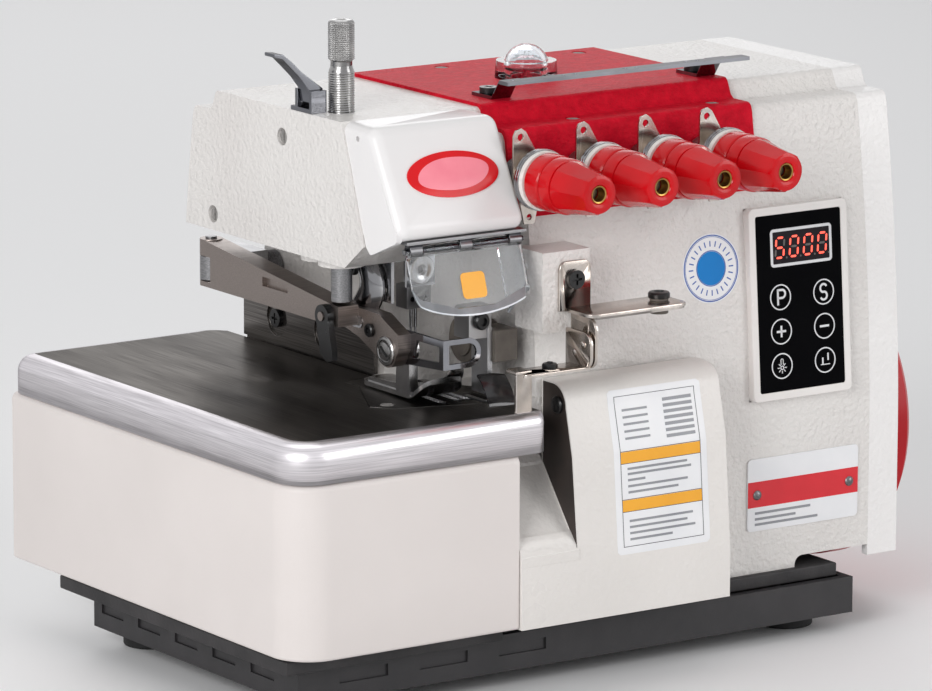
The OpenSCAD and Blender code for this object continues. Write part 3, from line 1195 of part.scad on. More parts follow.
module front_cover() color([0.9, 0.88, 0.86]) difference() {
    union() {
        difference() {
            along_x(x_front_cover, x_front_cover + front_cover_length) polygon(concat(
                [[cover_back, cover_bottom], [front_cover_front, cover_bottom]], front_line(0),
                [[cover_back, z_cover]]));
            along_x(x_front_cover + front_cover_wall, x_front_cover + front_cover_length - front_cover_wall)
                polygon(concat(
                    [[cover_back + 1, cover_bottom - 1], [front_cover_front + front_cover_wall, cover_bottom - 1]],
                    front_line(front_cover_wall), [[cover_back + 1, z_cover - front_cover_wall]]));
            along_x(x_front_cover - 1, chute_x) polygon([
                [cover_back + 1, chute_back_z], [front_cover_front - 1, chute_front_z],
                [front_cover_front - 1, z_cover + 1], [cover_back + 1, z_cover + 1]]);
        }
        // Floor and side wall of the trimmings chute
        along_x(x_front_cover, chute_x + 1) polygon([
            [cover_back, chute_back_z - 1], [front_cover_front + 0.4, chute_front_z],
            [front_cover_front + 0.4, chute_front_z - front_cover_wall],
            [cover_back, chute_back_z - 1 - front_cover_wall]]);
        along_x(chute_x, chute_x + 2.5) polygon(concat(
            [[cover_back, chute_back_z - 3], [front_cover_front + 1, chute_front_z - 2]],
            [for (p = front_line(1)) if (p[1] > chute_front_z) p], [[cover_back, z_cover - 1]]));
        for (x = cover_lug_x) {
            box([x + cover_lug + moving_gap, front_cover_front + 2, cover_hinge[1] - 4.5],
                [x + 2 * cover_lug + moving_gap, cover_hinge[0], cover_hinge[1] + 4.5]);
            rod_x(x + cover_lug + moving_gap, x + 2 * cover_lug + moving_gap, cover_hinge[0], cover_hinge[1], 9);
        }
    }
    for (x = cover_lug_x) rod_x(x + cover_lug - 1, x + 2 * cover_lug + 2, cover_hinge[0], cover_hinge[1],
        cover_pin_diameter + 2 * running_gap);
    along_x(x_front_cover - 1, x_front_cover + front_cover_length + 1)
        polygon([[cover_back - 8, z_body], [cover_back + 1, z_body], [cover_back + 1, z_body + 8]]);
}

rubber_feet();
oil_pan();
base_plate();
machine_frame();
end_cover();
head_housing();
head_cover();
head_badge();
arm_top_cover();
black_screws();
steel_screws();
sight_dome();
thread_guide_bar();
tension_studs();
tension_guides();
tension_discs();
felt_washers();
tension_cap_1();
tension_cap_2();
tension_cap_3();
tension_cap_4();
panel_frame();
panel_face();
nameplate();
nameplate_rivets();
motor_stator();
motor_rotor();
main_shaft();
bearing_bushes();
handwheel();
throat_plate();
lower_knife();
needle_bar();
needle_clamp();
needles();
upper_looper();
lower_looper();
pivot_pins();
main_feed_dog();
differential_feed_dog();
upper_knife();
knife_arm();
presser_arm();
arm_pivot_block();
arm_lock_lever();
presser_foot();
pressure_screw();
presser_plunger();
release_lever();
lever_bracket();
finger_guard();
take_up_guard();
visor();
visor_rail();
guide_bracket();
guide_arm();
cloth_plate();
plate_cover();
column_guard();
front_cover();
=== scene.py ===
import json
import math
import bmesh
import bpy
import numpy as np
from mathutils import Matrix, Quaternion, Vector


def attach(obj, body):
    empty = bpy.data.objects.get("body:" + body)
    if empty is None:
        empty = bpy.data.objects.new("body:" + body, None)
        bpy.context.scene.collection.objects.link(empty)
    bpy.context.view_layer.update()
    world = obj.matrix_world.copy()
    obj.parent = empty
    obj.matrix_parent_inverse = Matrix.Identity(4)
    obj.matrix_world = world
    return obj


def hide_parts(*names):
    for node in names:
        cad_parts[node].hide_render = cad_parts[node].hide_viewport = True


# Overlock sewing machine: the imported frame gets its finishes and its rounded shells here.
# +X runs along the arm to the handwheel, +Y to the back, +Z up. The room and the finishes are in metres, and
# surfaces are worked out in millimetres.

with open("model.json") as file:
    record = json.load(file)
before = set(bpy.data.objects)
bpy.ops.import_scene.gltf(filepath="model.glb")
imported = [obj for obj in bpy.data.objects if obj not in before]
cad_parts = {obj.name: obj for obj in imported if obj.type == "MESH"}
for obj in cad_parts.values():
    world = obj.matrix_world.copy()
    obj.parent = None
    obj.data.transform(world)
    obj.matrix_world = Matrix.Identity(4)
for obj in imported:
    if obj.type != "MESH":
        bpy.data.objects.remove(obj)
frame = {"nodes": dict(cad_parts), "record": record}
nodes = frame["nodes"]
record = frame["record"]
bodyOfNode = {n: body for body, members in record["behaviour"]["bodies"].items() for n in members}


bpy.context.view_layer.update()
print("frame loaded,", len(nodes), "nodes")

room = {
    "floorSize": 9.0,
    "floorColor": (250, 250, 251),
    "floorRoughness": 0.6,
    "seenColor": (240, 240, 242),  # what the camera, mirrors and clear parts see of the room
    "worldStrength": 0.36,
    "cameraPlace": (-1.4864, -2.1649, 0.6735),
    "cameraPitch": 11.75,
    "cameraYaw": 34.3,
    "cameraRoll": 0.15,
    "lens": 239.484979,
    "sensor": 36,
    "clipEnd": 50,
    # name: place, aim, width, height, watts
    "lamps": {
        "keyLamp": ((-1.95, -1.05, 0.95), (0, 0, 0.14), 1.1, 1.1, 29),
        "fillLamp": ((1.5, -1.9, 0.8), (0, 0, 0.12), 1.0, 1.3, 14),
        "topLamp": ((0.1, 0.3, 1.9), (0, 0, 0.1), 1.6, 1.2, 5),
        "backLamp": ((0.9, 1.9, 1.0), (0, 0, 0.15), 1.4, 1.0, 5),
    },
}


def linear(color):
    # The usual screen curve undone: c / 12.92 near black, ((c + 0.055) / 1.055) to the power 2.4 above it.
    c = np.array(color[:3], float) / 255
    return tuple(np.where(c <= 0.04045, c / 12.92, ((c + 0.055) / 1.055) ** 2.4).tolist()) + (1.0,)


def added(name, data):
    obj = bpy.data.objects.new(name, data)
    bpy.context.scene.collection.objects.link(obj)
    return obj


def setUpCamera():
    data = bpy.data.cameras.new("camera")
    data.lens = room["lens"]
    data.sensor_width = room["sensor"]
    data.clip_end = room["clipEnd"]
    camera = added("camera", data)
    camera.location = room["cameraPlace"]
    camera.rotation_mode = "QUATERNION"
    turn = Quaternion((0, 0, 1), math.radians(-room["cameraYaw"]))
    tip = Quaternion((1, 0, 0), math.radians(90 - room["cameraPitch"]))
    roll = Quaternion((0, 0, 1), math.radians(room["cameraRoll"]))
    camera.rotation_quaternion = turn @ tip @ roll
    bpy.context.scene.camera = camera


def setUpLamps():
    for name, (place, aim, width, height, watts) in room["lamps"].items():
        lamp = bpy.data.lights.new(name, "AREA")
        lamp.shape = "RECTANGLE"
        lamp.size = width
        lamp.size_y = height
        lamp.energy = watts
        obj = added(name, lamp)
        obj.location = place
        obj.rotation_euler = (Vector(aim) - Vector(place)).to_track_quat("-Z", "Y").to_euler()


def setUpWorld():
    # White light on the surfaces, and a pale grey where a ray looks at the room itself.
    world = bpy.data.worlds.new("studio")
    bpy.context.scene.world = world
    world.use_nodes = True
    tree = world.node_tree
    tree.nodes.clear()
    new, link = tree.nodes.new, tree.links.new
    out, lit, seen = (new("ShaderNode" + kind) for kind in ("OutputWorld", "Background", "Background"))
    mix, path = new("ShaderNodeMixShader"), new("ShaderNodeLightPath")
    lit.inputs[0].default_value = (1, 1, 1, 1)
    lit.inputs[1].default_value = room["worldStrength"]
    seen.inputs[0].default_value = linear(room["seenColor"])
    seen.inputs[1].default_value = 1
    looking = path.outputs["Is Camera Ray"]
    for kind in ("Is Glossy Ray", "Is Transmission Ray"):
        either = new("ShaderNodeMath")
        either.operation = "MAXIMUM"
        link(looking, either.inputs[0])
        link(path.outputs[kind], either.inputs[1])
        looking = either.outputs[0]
    for source, socket in zip((looking, lit.outputs[0], seen.outputs[0]), mix.inputs):
        link(source, socket)
    link(mix.outputs[0], out.inputs[0])


def setUpFloor():
    size = room["floorSize"] / 2
    mesh = bpy.data.meshes.new("floor")
    corners = [(-size, -size, 0), (size, -size, 0), (size, size, 0), (-size, size, 0)]
    mesh.from_pydata(corners, [], [(0, 1, 2, 3)])
    material = bpy.data.materials.new("floorPaint")
    material.use_nodes = True
    shader = material.node_tree.nodes["Principled BSDF"]
    shader.inputs["Base Color"].default_value = linear(room["floorColor"])
    shader.inputs["Roughness"].default_value = room["floorRoughness"]
    mesh.materials.append(material)
    added("floor", mesh)


bpy.context.scene.view_settings.view_transform = "Standard"
setUpCamera()
setUpLamps()
setUpWorld()
setUpFloor()
print("room, lamps and camera set")

# A finish is the two ends of a slow mottling, how many metres wide its patches are, and its range of roughness.
# peel and fine are raised grains (cell size and depth in metres); brush stretches fine streaks along an axis.
# wear is a thin pale line on edges, bands a broad share in the streaks that paints reflection streaks, edge a
# tint that darkens metal seen at a slant, painted shade in its reflection.


def look(color, color2, patch, rough, **more):
    return dict(color=color, color2=color2, patch=patch, rough=rough, **more)


finishes = {
    "castingPaint": look((229, 226, 223), (222, 218, 215), 0.06, (0.26, 0.36), peel=(0.0024, 0.0009),
                         fine=(0.0009, 0.00014), specular=0.45),
    "endPaint": look((242, 240, 239), (236, 234, 233), 0.06, (0.26, 0.36), peel=(0.0024, 0.0005), specular=0.4),
    "recessGrey": look((156, 153, 150), (120, 118, 116), 0.001, (0.5, 0.6)),
    # A dark brown that stands in for shade on the chute's cream inner wall: painted shadow
    "chutePaintedShadow": look((64, 55, 51), (46, 41, 39), 0.02, (0.36, 0.46), specular=0.3),
    "armSteel": look((158, 148, 142), (130, 121, 117), 0.006, (0.3, 0.4), metal=1,
                     brush=("X", 0.0003, 0.000001)),
    # Its edge tint darkens the slanting reflection on the bar's top: painted shade
    "barChrome": look((146, 147, 152), (120, 121, 126), 0.03, (0.06, 0.1), metal=1, edge=0.3),
    "coverPaint": look((226, 219, 216), (220, 213, 210), 0.08, (0.36, 0.44), peel=(0.0012, 0.00004),
                       specular=0.35),
    "frontPaint": look((231, 227, 223), (224, 220, 216), 0.08, (0.24, 0.34), peel=(0.0022, 0.00026),
                       specular=0.4),
    "hoodPlastic": look((240, 238, 238), (235, 233, 233), 0.05, (0.2, 0.28), peel=(0.0009, 0.00001),
                        specular=0.4),
    "panelPlastic": look((236, 232, 229), (231, 227, 224), 0.03, (0.22, 0.3), peel=(0.0008, 0.00001), coat=0.3),
    "redPaint": look((212, 20, 44), (190, 12, 36), 0.004, (0.4, 0.55), peel=(0.0014, 0.0005),
                     fine=(0.0005, 0.00015), specular=0.06),
    "capPlastic": look((206, 14, 24), (190, 8, 18), 0.02, (0.12, 0.2), peel=(0.002, 0.000008), specular=0.28),
    "wheelPlastic": look((196, 20, 34), (182, 14, 28), 0.03, (0.28, 0.38), peel=(0.001, 0.00002),
                         specular=0.25),
    "badgeRed": look((224, 16, 26), (214, 12, 22), 0.01, (0.12, 0.2), specular=0.25),
    "badgePink": look((255, 150, 164), (250, 140, 156), 0.01, (0.15, 0.22), specular=0.25),
    "panelGlass": look((4, 4, 6), (7, 7, 9), 0.02, (0.12, 0.2), specular=0.02),
    "keyPrint": look((225, 226, 228), (214, 215, 218), 0.01, (0.3, 0.4)),
    "labelWhite": look((240, 240, 242), (232, 233, 236), 0.02, (0.3, 0.42)),
    "labelRed": look((222, 26, 42), (210, 20, 36), 0.02, (0.28, 0.4)),
    "labelAmber": look((248, 176, 34), (240, 166, 26), 0.02, (0.3, 0.4)),
    "labelBlue": look((0, 128, 206), (0, 118, 194), 0.02, (0.3, 0.4), specular=0.2),
    "labelGrey": look((150, 152, 156), (138, 140, 146), 0.02, (0.35, 0.45)),
    "labelInk": look((72, 72, 76), (60, 60, 64), 0.02, (0.35, 0.45)),
    "labelInkBlue": look((38, 88, 170), (30, 78, 160), 0.02, (0.35, 0.45)),
    "displayOff": look((92, 84, 82), (80, 74, 72), 0.01, (0.3, 0.4)),
    "displayLight": look((255, 90, 70), (250, 70, 56), 0.01, (0.4, 0.5), glow=1.3),
    "displayDark": look((30, 22, 28), (24, 18, 24), 0.01, (0.2, 0.3), specular=0.1),
    # The dark end and the broad bands are painted reflection of a dark room, with light streaks, over the
    # brushed grain
    "brushedPlate": look((160, 156, 152), (80, 77, 76), 0.05, (0.24, 0.36), metal=1,
                         brush=("Y", 0.0004, 0.000004), bands=0.024, edge=0.36),
    "brushedRim": look((240, 236, 239), (205, 201, 204), 0.03, (0.26, 0.34), metal=1,
                       brush=("XY", 0.0004, 0.0000012), edge=0.5),
    "chrome": look((148, 148, 150), (112, 113, 116), 0.02, (0.07, 0.16), metal=1, peel=(0.003, 0.000004),
                   wear=0.25),
    "groundSteel": look((128, 127, 128), (84, 84, 87), 0.012, (0.24, 0.38), metal=1,
                        brush=("Y", 0.0005, 0.000005), wear=0.35),
    "turnedSteel": look((168, 167, 165), (122, 121, 121), 0.01, (0.14, 0.26), metal=1, peel=(0.002, 0.000004),
                        wear=0.2),
    "footSteel": look((138, 135, 133), (92, 90, 90), 0.008, (0.16, 0.3), metal=1, peel=(0.0015, 0.000006),
                      wear=0.35),
    "knifeSteel": look((92, 90, 90), (56, 55, 58), 0.008, (0.28, 0.42), metal=1, peel=(0.001, 0.00001),
                       wear=0.5),
    "greyCast": look((118, 111, 104), (96, 90, 84), 0.008, (0.6, 0.75), metal=0.25, peel=(0.0009, 0.00006)),
    "smokedPlastic": look((34, 33, 36), (22, 22, 24), 0.01, (0.12, 0.22), coat=0.3),
    # Pale and opaque on a clear sheet: a painted highlight along the visor's edge
    "clearEdgeHighlight": look((226, 231, 236), (196, 202, 208), 0.01, (0.12, 0.2)),
    "nickel": look((204, 192, 181), (150, 140, 131), 0.012, (0.14, 0.28), metal=1, peel=(0.003, 0.000006),
                   wear=0.3),
    "darkSteel": look((64, 64, 68), (36, 36, 40), 0.01, (0.26, 0.42), metal=1, peel=(0.0012, 0.00001),
                      wear=0.45),
    "blackScrew": look((20, 20, 21), (11, 11, 12), 0.004, (0.24, 0.36), specular=0.45, peel=(0.0008, 0.00001)),
    "castIron": look((62, 60, 61), (44, 43, 44), 0.02, (0.55, 0.7), metal=0.3, peel=(0.0016, 0.00012)),
    "darkPlastic": look((44, 42, 44), (34, 33, 35), 0.02, (0.45, 0.6), peel=(0.001, 0.00004)),
    "blackPlastic": look((22, 22, 24), (14, 14, 16), 0.01, (0.3, 0.42), peel=(0.001, 0.00002)),
    "bronze": look((186, 150, 84), (160, 124, 66), 0.008, (0.25, 0.38), metal=1),
    "footRubber": look((30, 30, 31), (20, 20, 21), 0.01, (0.65, 0.8), peel=(0.0007, 0.00004)),
    "felt": look((240, 238, 234), (222, 219, 214), 0.002, (0.85, 0.95), peel=(0.0006, 0.0002)),
    "clearPlastic": look((250, 252, 254), (246, 249, 252), 0.05, (0.01, 0.03), clear=1.0, ior=1.3,
                         specular=0.3),
}

finishRule = {
    "ramp": (0.32, 0.68),  # where the mottling reaches its two ends
    "wear": (0.51, 0.58),  # pointiness at which the worn line begins and is whole
    "wearColor": (0.75, 0.75, 0.76, 1),
    "streakRatio": 0.012,  # how much slower streaks change along the brushing
    "bandRatio": 0.15,
    "anisotropic": 0.5,
    "roughPatch": 0.4,  # patches of roughness, as a share of the mottling's
    "coatRoughness": 0.12,
}


def finish(name):
    spec, rule = finishes[name], finishRule
    mat = bpy.data.materials.new(name)
    mat.use_nodes = True
    tree = mat.node_tree
    new, link = tree.nodes.new, tree.links.new
    shader = tree.nodes["Principled BSDF"]
    coords = new("ShaderNodeTexCoord").outputs["Object"]

    def noise(size, detail=2.0, source=None):
        n = new("ShaderNodeTexNoise")
        n.inputs["Scale"].default_value = 1 / size
        n.inputs["Detail"].default_value = detail
        link(source or coords, n.inputs["Vector"])
        return n.outputs["Fac"]

    def stretched(axis, ratio):
        m = new("ShaderNodeMapping")
        m.inputs["Scale"].default_value = [ratio if a in axis else 1 for a in "XYZ"]
        link(coords, m.inputs["Vector"])
        return m.outputs["Vector"]

    def ramped(source, places, colors):
        ramp = new("ShaderNodeValToRGB")
        for element, place, color in zip(ramp.color_ramp.elements, places, colors):
            element.position = place
            element.color = color
        link(source, ramp.inputs[0])
        return ramp.outputs[0]

    grains = [(*spec[key], None) for key in ("peel", "fine") if key in spec]
    tone = noise(spec["patch"], 4)
    if "brush" in spec:
        axis, size, depth = spec["brush"]
        grains.append((size, depth, axis))
        tone = noise(size, 3, stretched(axis, rule["streakRatio"]))
        # Broad bands mixed into the streaked tone: painted reflection streaks
        if "bands" in spec:
            blend = new("ShaderNodeMix")
            blend.inputs[0].default_value = 0.5
            link(noise(spec["bands"], 2, stretched(axis, rule["bandRatio"])), blend.inputs[2])
            link(tone, blend.inputs[3])
            tone = blend.outputs[0]
        shader.inputs["Anisotropic"].default_value = rule["anisotropic"]
    color = ramped(tone, rule["ramp"], (linear(spec["color2"]), linear(spec["color"])))
    if "wear" in spec:
        worn = ramped(new("ShaderNodeNewGeometry").outputs["Pointiness"], rule["wear"],
                      ((0, 0, 0, 1), [spec["wear"]] * 3 + [1]))
        lighten = new("ShaderNodeMix")
        lighten.data_type = "RGBA"
        lighten.inputs[7].default_value = rule["wearColor"]
        link(worn, lighten.inputs[0])
        link(color, lighten.inputs[6])
        color = lighten.outputs[2]
    link(color, shader.inputs["Base Color"])
    spread = new("ShaderNodeMapRange")
    spread.inputs["To Min"].default_value, spread.inputs["To Max"].default_value = spec["rough"]
    link(noise(spec["patch"] * rule["roughPatch"], 3), spread.inputs["Value"])
    link(spread.outputs[0], shader.inputs["Roughness"])
    under = None
    for size, depth, axis in grains:
        bump = new("ShaderNodeBump")
        bump.inputs["Strength"].default_value = 1
        bump.inputs["Distance"].default_value = depth
        link(noise(size, 2, stretched(axis, rule["streakRatio"]) if axis else None), bump.inputs["Height"])
        if under:
            link(under, bump.inputs["Normal"])
        under = bump.outputs[0]
    if under:
        link(under, shader.inputs["Normal"])
    shader.inputs["Coat Roughness"].default_value = rule["coatRoughness"]
    for key, socket in (("metal", "Metallic"), ("coat", "Coat Weight"), ("specular", "Specular IOR Level"),
                        ("clear", "Transmission Weight"), ("ior", "IOR"), ("glow", "Emission Strength")):
        if key in spec:
            shader.inputs[socket].default_value = spec[key]
    # A grey edge tint darkens what metal reflects at a slant: painted shade in the reflections
    if "edge" in spec:
        shader.inputs["Specular Tint"].default_value = [spec["edge"]] * 3 + [1]
    if "glow" in spec:
        shader.inputs["Emission Color"].default_value = linear(spec["color"])
    return mat


paints = {name: finish(name) for name in finishes}
print("finishes made:", len(paints))

slotFinish = {
    "cast_paint": "castingPaint", "cover_paint": "coverPaint", "red_paint": "redPaint",
    "red_plastic": "capPlastic", "white_plastic": "panelPlastic", "clear_plastic": "clearPlastic",
    "black_plastic": "blackPlastic", "label_metal": "labelWhite", "brushed": "brushedPlate",
    "chrome": "chrome", "steel": "groundSteel", "dark_steel": "darkSteel", "black_screw": "blackScrew",
    "iron": "castIron", "dark_plastic": "darkPlastic", "bronze": "bronze", "rubber": "footRubber",
    "felt": "felt",
}
slotOf = {row["node"]: row["material_slot"] for row in record["subparts"]}
nodeFinish = {"front_cover": "frontPaint", "head_cover": "hoodPlastic", "panel_face": "panelGlass",
              "handwheel": "wheelPlastic", "head_badge": "badgeRed", "knife_arm": "greyCast",
              "pivot_pins": "greyCast", "upper_knife": "knifeSteel", "thread_guide_bar": "barChrome",
              "tension_guides": "nickel", "finger_guard": "barChrome", "cloth_plate": "brushedRim",
              "end_cover": "endPaint", "steel_screws": "recessGrey", "presser_arm": "armSteel",
              "arm_lock_lever": "blackScrew", "release_lever": "barChrome", "lever_bracket": "barChrome"}

# How far the edges of each group of nodes are eased, in metres; the others have the dressing's own width
easedGroups = {
    0.0045: "head_housing",
    0.003: "end_cover head_cover",
    0.002: "front_cover",
    0.0016: "machine_frame",
    0.0015: "oil_pan plate_cover",
    0.0012: "arm_top_cover",
    0.001: "rubber_feet",
    0.0008: "base_plate",
    0.0006: "knife_arm panel_frame cloth_plate",
    0.0005: "presser_arm arm_lock_lever release_lever",
    0.0004: "arm_pivot_block presser_foot needle_clamp guide_bracket guide_arm thread_guide_bar "
            "column_guard visor upper_looper lower_looper",
    0.0003: "lever_bracket take_up_guard throat_plate black_screws finger_guard",
}
eased = {node: width for width, group in easedGroups.items() for node in group.split()}

dressing = {"weld": 0.000005, "flatDegrees": 0.4, "bevelDegrees": 38, "segments": 2, "eased": 0.0002}


def dressNode(name):
    obj = nodes[name]
    obj.data.materials.clear()
    obj.data.materials.append(paints[nodeFinish.get(name, slotFinish[slotOf[name]])])
    obj.data.polygons.foreach_set("use_smooth", [True] * len(obj.data.polygons))
    weld = obj.modifiers.new("weld", "WELD")
    weld.merge_threshold = dressing["weld"]
    flat = obj.modifiers.new("flatFaces", "DECIMATE")
    flat.decimate_type = "DISSOLVE"
    flat.angle_limit = math.radians(dressing["flatDegrees"])
    bevel = obj.modifiers.new("easedEdges", "BEVEL")
    bevel.width = eased.get(name, dressing["eased"])
    bevel.segments = dressing["segments"]
    bevel.limit_method = "ANGLE"
    bevel.angle_limit = math.radians(dressing["bevelDegrees"])
    bevel.miter_outer = "MITER_ARC"
    shade = obj.modifiers.new("evenShading", "WEIGHTED_NORMAL")
    shade.keep_sharp = True


for nodeName in nodes:
    dressNode(nodeName)
print("nodes dressed")


# A part is a pair: its points in millimetres, and a list of face arrays.


def wound(points, faces):
    # Twice the signed volume about the middle tells which way the faces look; a negative one is turned round.
    p = points - points.mean(0)
    total = sum(np.einsum("ij,ij->", p[f[:, 0]], np.cross(p[f[:, k]], p[f[:, k + 1]]))
                for f in faces for k in range(1, f.shape[1] - 1))
    return points, [f if total > 0 else f[:, ::-1] for f in faces]


def grid(rows, wrapRows=False, wrapColumns=False, caps=False):
    # Rows of points joined into four-sided faces; caps closes the first and the last row with one face each.
    rows = np.asarray(rows, float)
    high, wide = rows.shape[:2]
    r, c = np.meshgrid(np.arange(high if wrapRows else high - 1), np.arange(wide if wrapColumns else wide - 1),
                       indexing="ij")
    up, over = (r + 1) % high, (c + 1) % wide
    faces = [np.stack([r * wide + c, up * wide + c, up * wide + over, r * wide + over], -1).reshape(-1, 4)]
    if caps:
        faces += [np.arange(wide)[None, :], (high - 1) * wide + np.arange(wide)[None, ::-1]]
    return wound(rows.reshape(-1, 3), faces)


def spun(profile, centre, axis, count=64, flats=None):
    # Radius and height pairs turned about an axis through centre. flats(height) gives how far the circle goes
    # over to an eight-sided outline: radius times cos(22.5 degrees) / cos(angle within the side).
    radius, height = np.array(profile, float).T
    turn = np.linspace(0, 2 * np.pi, count, endpoint=False)
    side = np.cos(np.pi / 8) / np.cos((turn % (np.pi / 4)) - np.pi / 8)
    share = np.zeros(len(height)) if flats is None else flats(height)
    r = radius[:, None] * (1 + share[:, None] * (side[None, :] - 1))
    across, along = r * np.cos(turn), r * np.sin(turn)
    h = np.repeat(height[:, None], count, 1)
    order = {"x": (h, across, along), "-x": (-h, across, along), "-y": (across, -h, along),
             "z": (across, along, h)}[axis]
    closed = not (radius[0] == 0 and radius[-1] == 0)
    return grid(np.stack(order, -1) + np.array(centre, float), wrapRows=closed, wrapColumns=True)


def corner(centre, radius, start, end, count=9):
    a = np.radians(np.linspace(start, end, count))
    return np.stack([centre[0] + radius * np.cos(a), centre[1] + radius * np.sin(a)], -1)


def roundBox(width, height, radius, centre=(0, 0)):
    x, y = width / 2 - radius, height / 2 - radius
    return np.concatenate([corner((centre[0] + sx * x, centre[1] + sy * y), radius, a, a + 90)
                           for sx, sy, a in ((1, 1, 0), (-1, 1, 90), (-1, -1, 180), (1, -1, 270))])


def ellipse(width, height, count=72, centre=(0, 0)):
    a = np.linspace(0, 2 * np.pi, count, endpoint=False)
    return np.stack([centre[0] + width / 2 * np.cos(a), centre[1] + height / 2 * np.sin(a)], -1)


def slab(outline, low, high, ease=0.0):
    # An outline carried from one level to another; ease draws the upper edge in along a quarter circle.
    outline = np.asarray(outline, float)
    ahead, behind = np.roll(outline, -1, 0), np.roll(outline, 1, 0)
    way = ahead - behind
    way /= np.maximum(np.linalg.norm(way, axis=1, keepdims=True), 1e-9)
    inward = np.stack([-way[:, 1], way[:, 0]], -1)
    if np.sum(outline[:, 0] * ahead[:, 1] - outline[:, 1] * ahead[:, 0]) < 0:
        inward = -inward
    steps = [(0, low), (0, high)] if ease == 0 else [(0, low)] + [
        (ease * (1 - np.cos(a)), high - ease * (1 - np.sin(a))) for a in np.radians([0, 30, 60, 90])]
    rows = [np.column_stack([outline + inward * inset, np.full(len(outline), level)]) for inset, level in steps]
    return grid(rows, wrapColumns=True, caps=True)


def stroke(path, width, low, high, closed=False):
    # A flat line of even width: the path is moved half the width to each side along its normals.
    path = np.asarray(path, float)
    way = np.gradient(path, axis=0)
    if closed:
        way = np.roll(path, -1, 0) - np.roll(path, 1, 0)
    way /= np.linalg.norm(way, axis=1, keepdims=True)
    normal = np.stack([-way[:, 1], way[:, 0]], -1) * width / 2
    sides = [(path - normal, low), (path + normal, low), (path + normal, high), (path - normal, high)]
    rows = np.stack([np.column_stack([p, np.full(len(p), w)]) for p, w in sides], 1)
    return grid(rows, wrapRows=closed, wrapColumns=True, caps=not closed)


def laid(part, origin, across, up, out):
    # Local points (across, up, out) carried into the frame.
    points, faces = part
    base = np.array([across, up, out], float)
    return wound(points @ base + np.array(origin, float), faces)


def welded(mesh, distance):
    work = bmesh.new()
    work.from_mesh(mesh)
    bmesh.ops.remove_doubles(work, verts=work.verts, dist=distance)
    work.to_mesh(mesh)
    work.free()


def makeShape(name, parts, paint, sharp=30):
    start, faces = 0, []
    for points, arrays in parts:
        faces += [row for f in arrays for row in (f + start).tolist()]
        start += len(points)
    mesh = bpy.data.meshes.new(name)
    mesh.from_pydata((np.concatenate([p for p, f in parts]) * 0.001).tolist(), [], faces)
    welded(mesh, 2e-7)
    mesh.materials.append(paints[paint])
    mesh.shade_smooth()
    mesh.set_sharp_from_angle(angle=math.radians(sharp))
    return added(name, mesh)


def handOver(obj, node, stands):
    # A piece rides with its node's body; stands tells that it is shown in that node's place.
    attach(obj, bodyOfNode[node])
    if stands:
        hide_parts(node)
    return obj


def makePiece(name, parts, node, slot, paint, stands=False, sharp=30):
    return handOver(makeShape(name, parts, paint, sharp), node, stands)


def carved(obj, cutter, operation):
    # The shape left by a cutter, which is then thrown away.
    cut = obj.modifiers.new("cut", "BOOLEAN")
    cut.operation = operation
    cut.solver = "EXACT"
    cut.use_self = True
    cut.object = cutter
    graph = bpy.context.evaluated_depsgraph_get()
    mesh = bpy.data.meshes.new_from_object(obj.evaluated_get(graph))
    obj.modifiers.remove(cut)
    obj.data = mesh
    bpy.data.objects.remove(cutter)
    mesh.shade_smooth()
    mesh.set_sharp_from_angle(angle=math.radians(30))


# Views that an outline is drawn on: its own two directions, and the one its thickness grows in.
views = {"front": ((1, 0, 0), (0, 0, 1), (0, -1, 0)), "left": ((0, 1, 0), (0, 0, 1), (-1, 0, 0)),
         "right": ((0, 1, 0), (0, 0, 1), (1, 0, 0)), "top": ((1, 0, 0), (0, 1, 0), (0, 0, 1))}


def plate(view, place, outline, low, high, ease=0.0):
    return laid(slab(outline, low, high, ease), place, *views[view])


def rectangle(x0, y0, x1, y1):
    return np.array([(x0, y0), (x1, y0), (x1, y1), (x0, y1)])


def cutBox(low, high, cuts):
    # A box outline whose four corners are rounded, each by its own radius, starting at the upper right.
    (x0, y0), (x1, y1) = low, high
    spots = ((x1, y1, -1, -1, 0), (x0, y1, 1, -1, 90), (x0, y0, 1, 1, 180), (x1, y0, -1, 1, 270))
    return np.concatenate([corner((x + sx * r, y + sy * r), r, a, a + 90, 9)
                           for (x, y, sx, sy, a), r in zip(spots, cuts)])


def closedSheet(face, back):
    # The two sides of a thin sheet joined round their edge: a ring of columns out along the face and home
    # along the back, capped at both ends.
    return grid(np.concatenate([face, back[:, ::-1]], 1), wrapColumns=True, caps=True)


castingForm = {"foot": 79.5, "knee": 88, "height": 145.5, "draw": 12.5, "power": 1.8}


def casting(z):
    # Half the casting's depth: straight up to the knee, then drawn in by a power of the share of the height.
    k = castingForm
    share = np.maximum((np.asarray(z, float) - k["knee"]) / k["height"], 0)
    return k["foot"] - k["draw"] * share ** k["power"]


def castingSide(x, y, z, reach):
    # A place on the casting's leaning front, and its three directions from the slope over reach either way.
    tilt = math.atan((casting(z - reach) - casting(z + reach)) / (2 * reach))
    return (x, y, z), (1, 0, 0), (0, math.sin(tilt), math.cos(tilt)), (0, -math.cos(tilt), math.sin(tilt))


boxCover = {"left": -165.5, "front": -105.6, "right": -54.5, "back": 121.4, "low": 30.6, "top": 104.8,
            "corner": 18, "wall": 4, "edge": 3.2, "foot": 1.6, "sideLevels": (55, 80), "frontStep": -110}


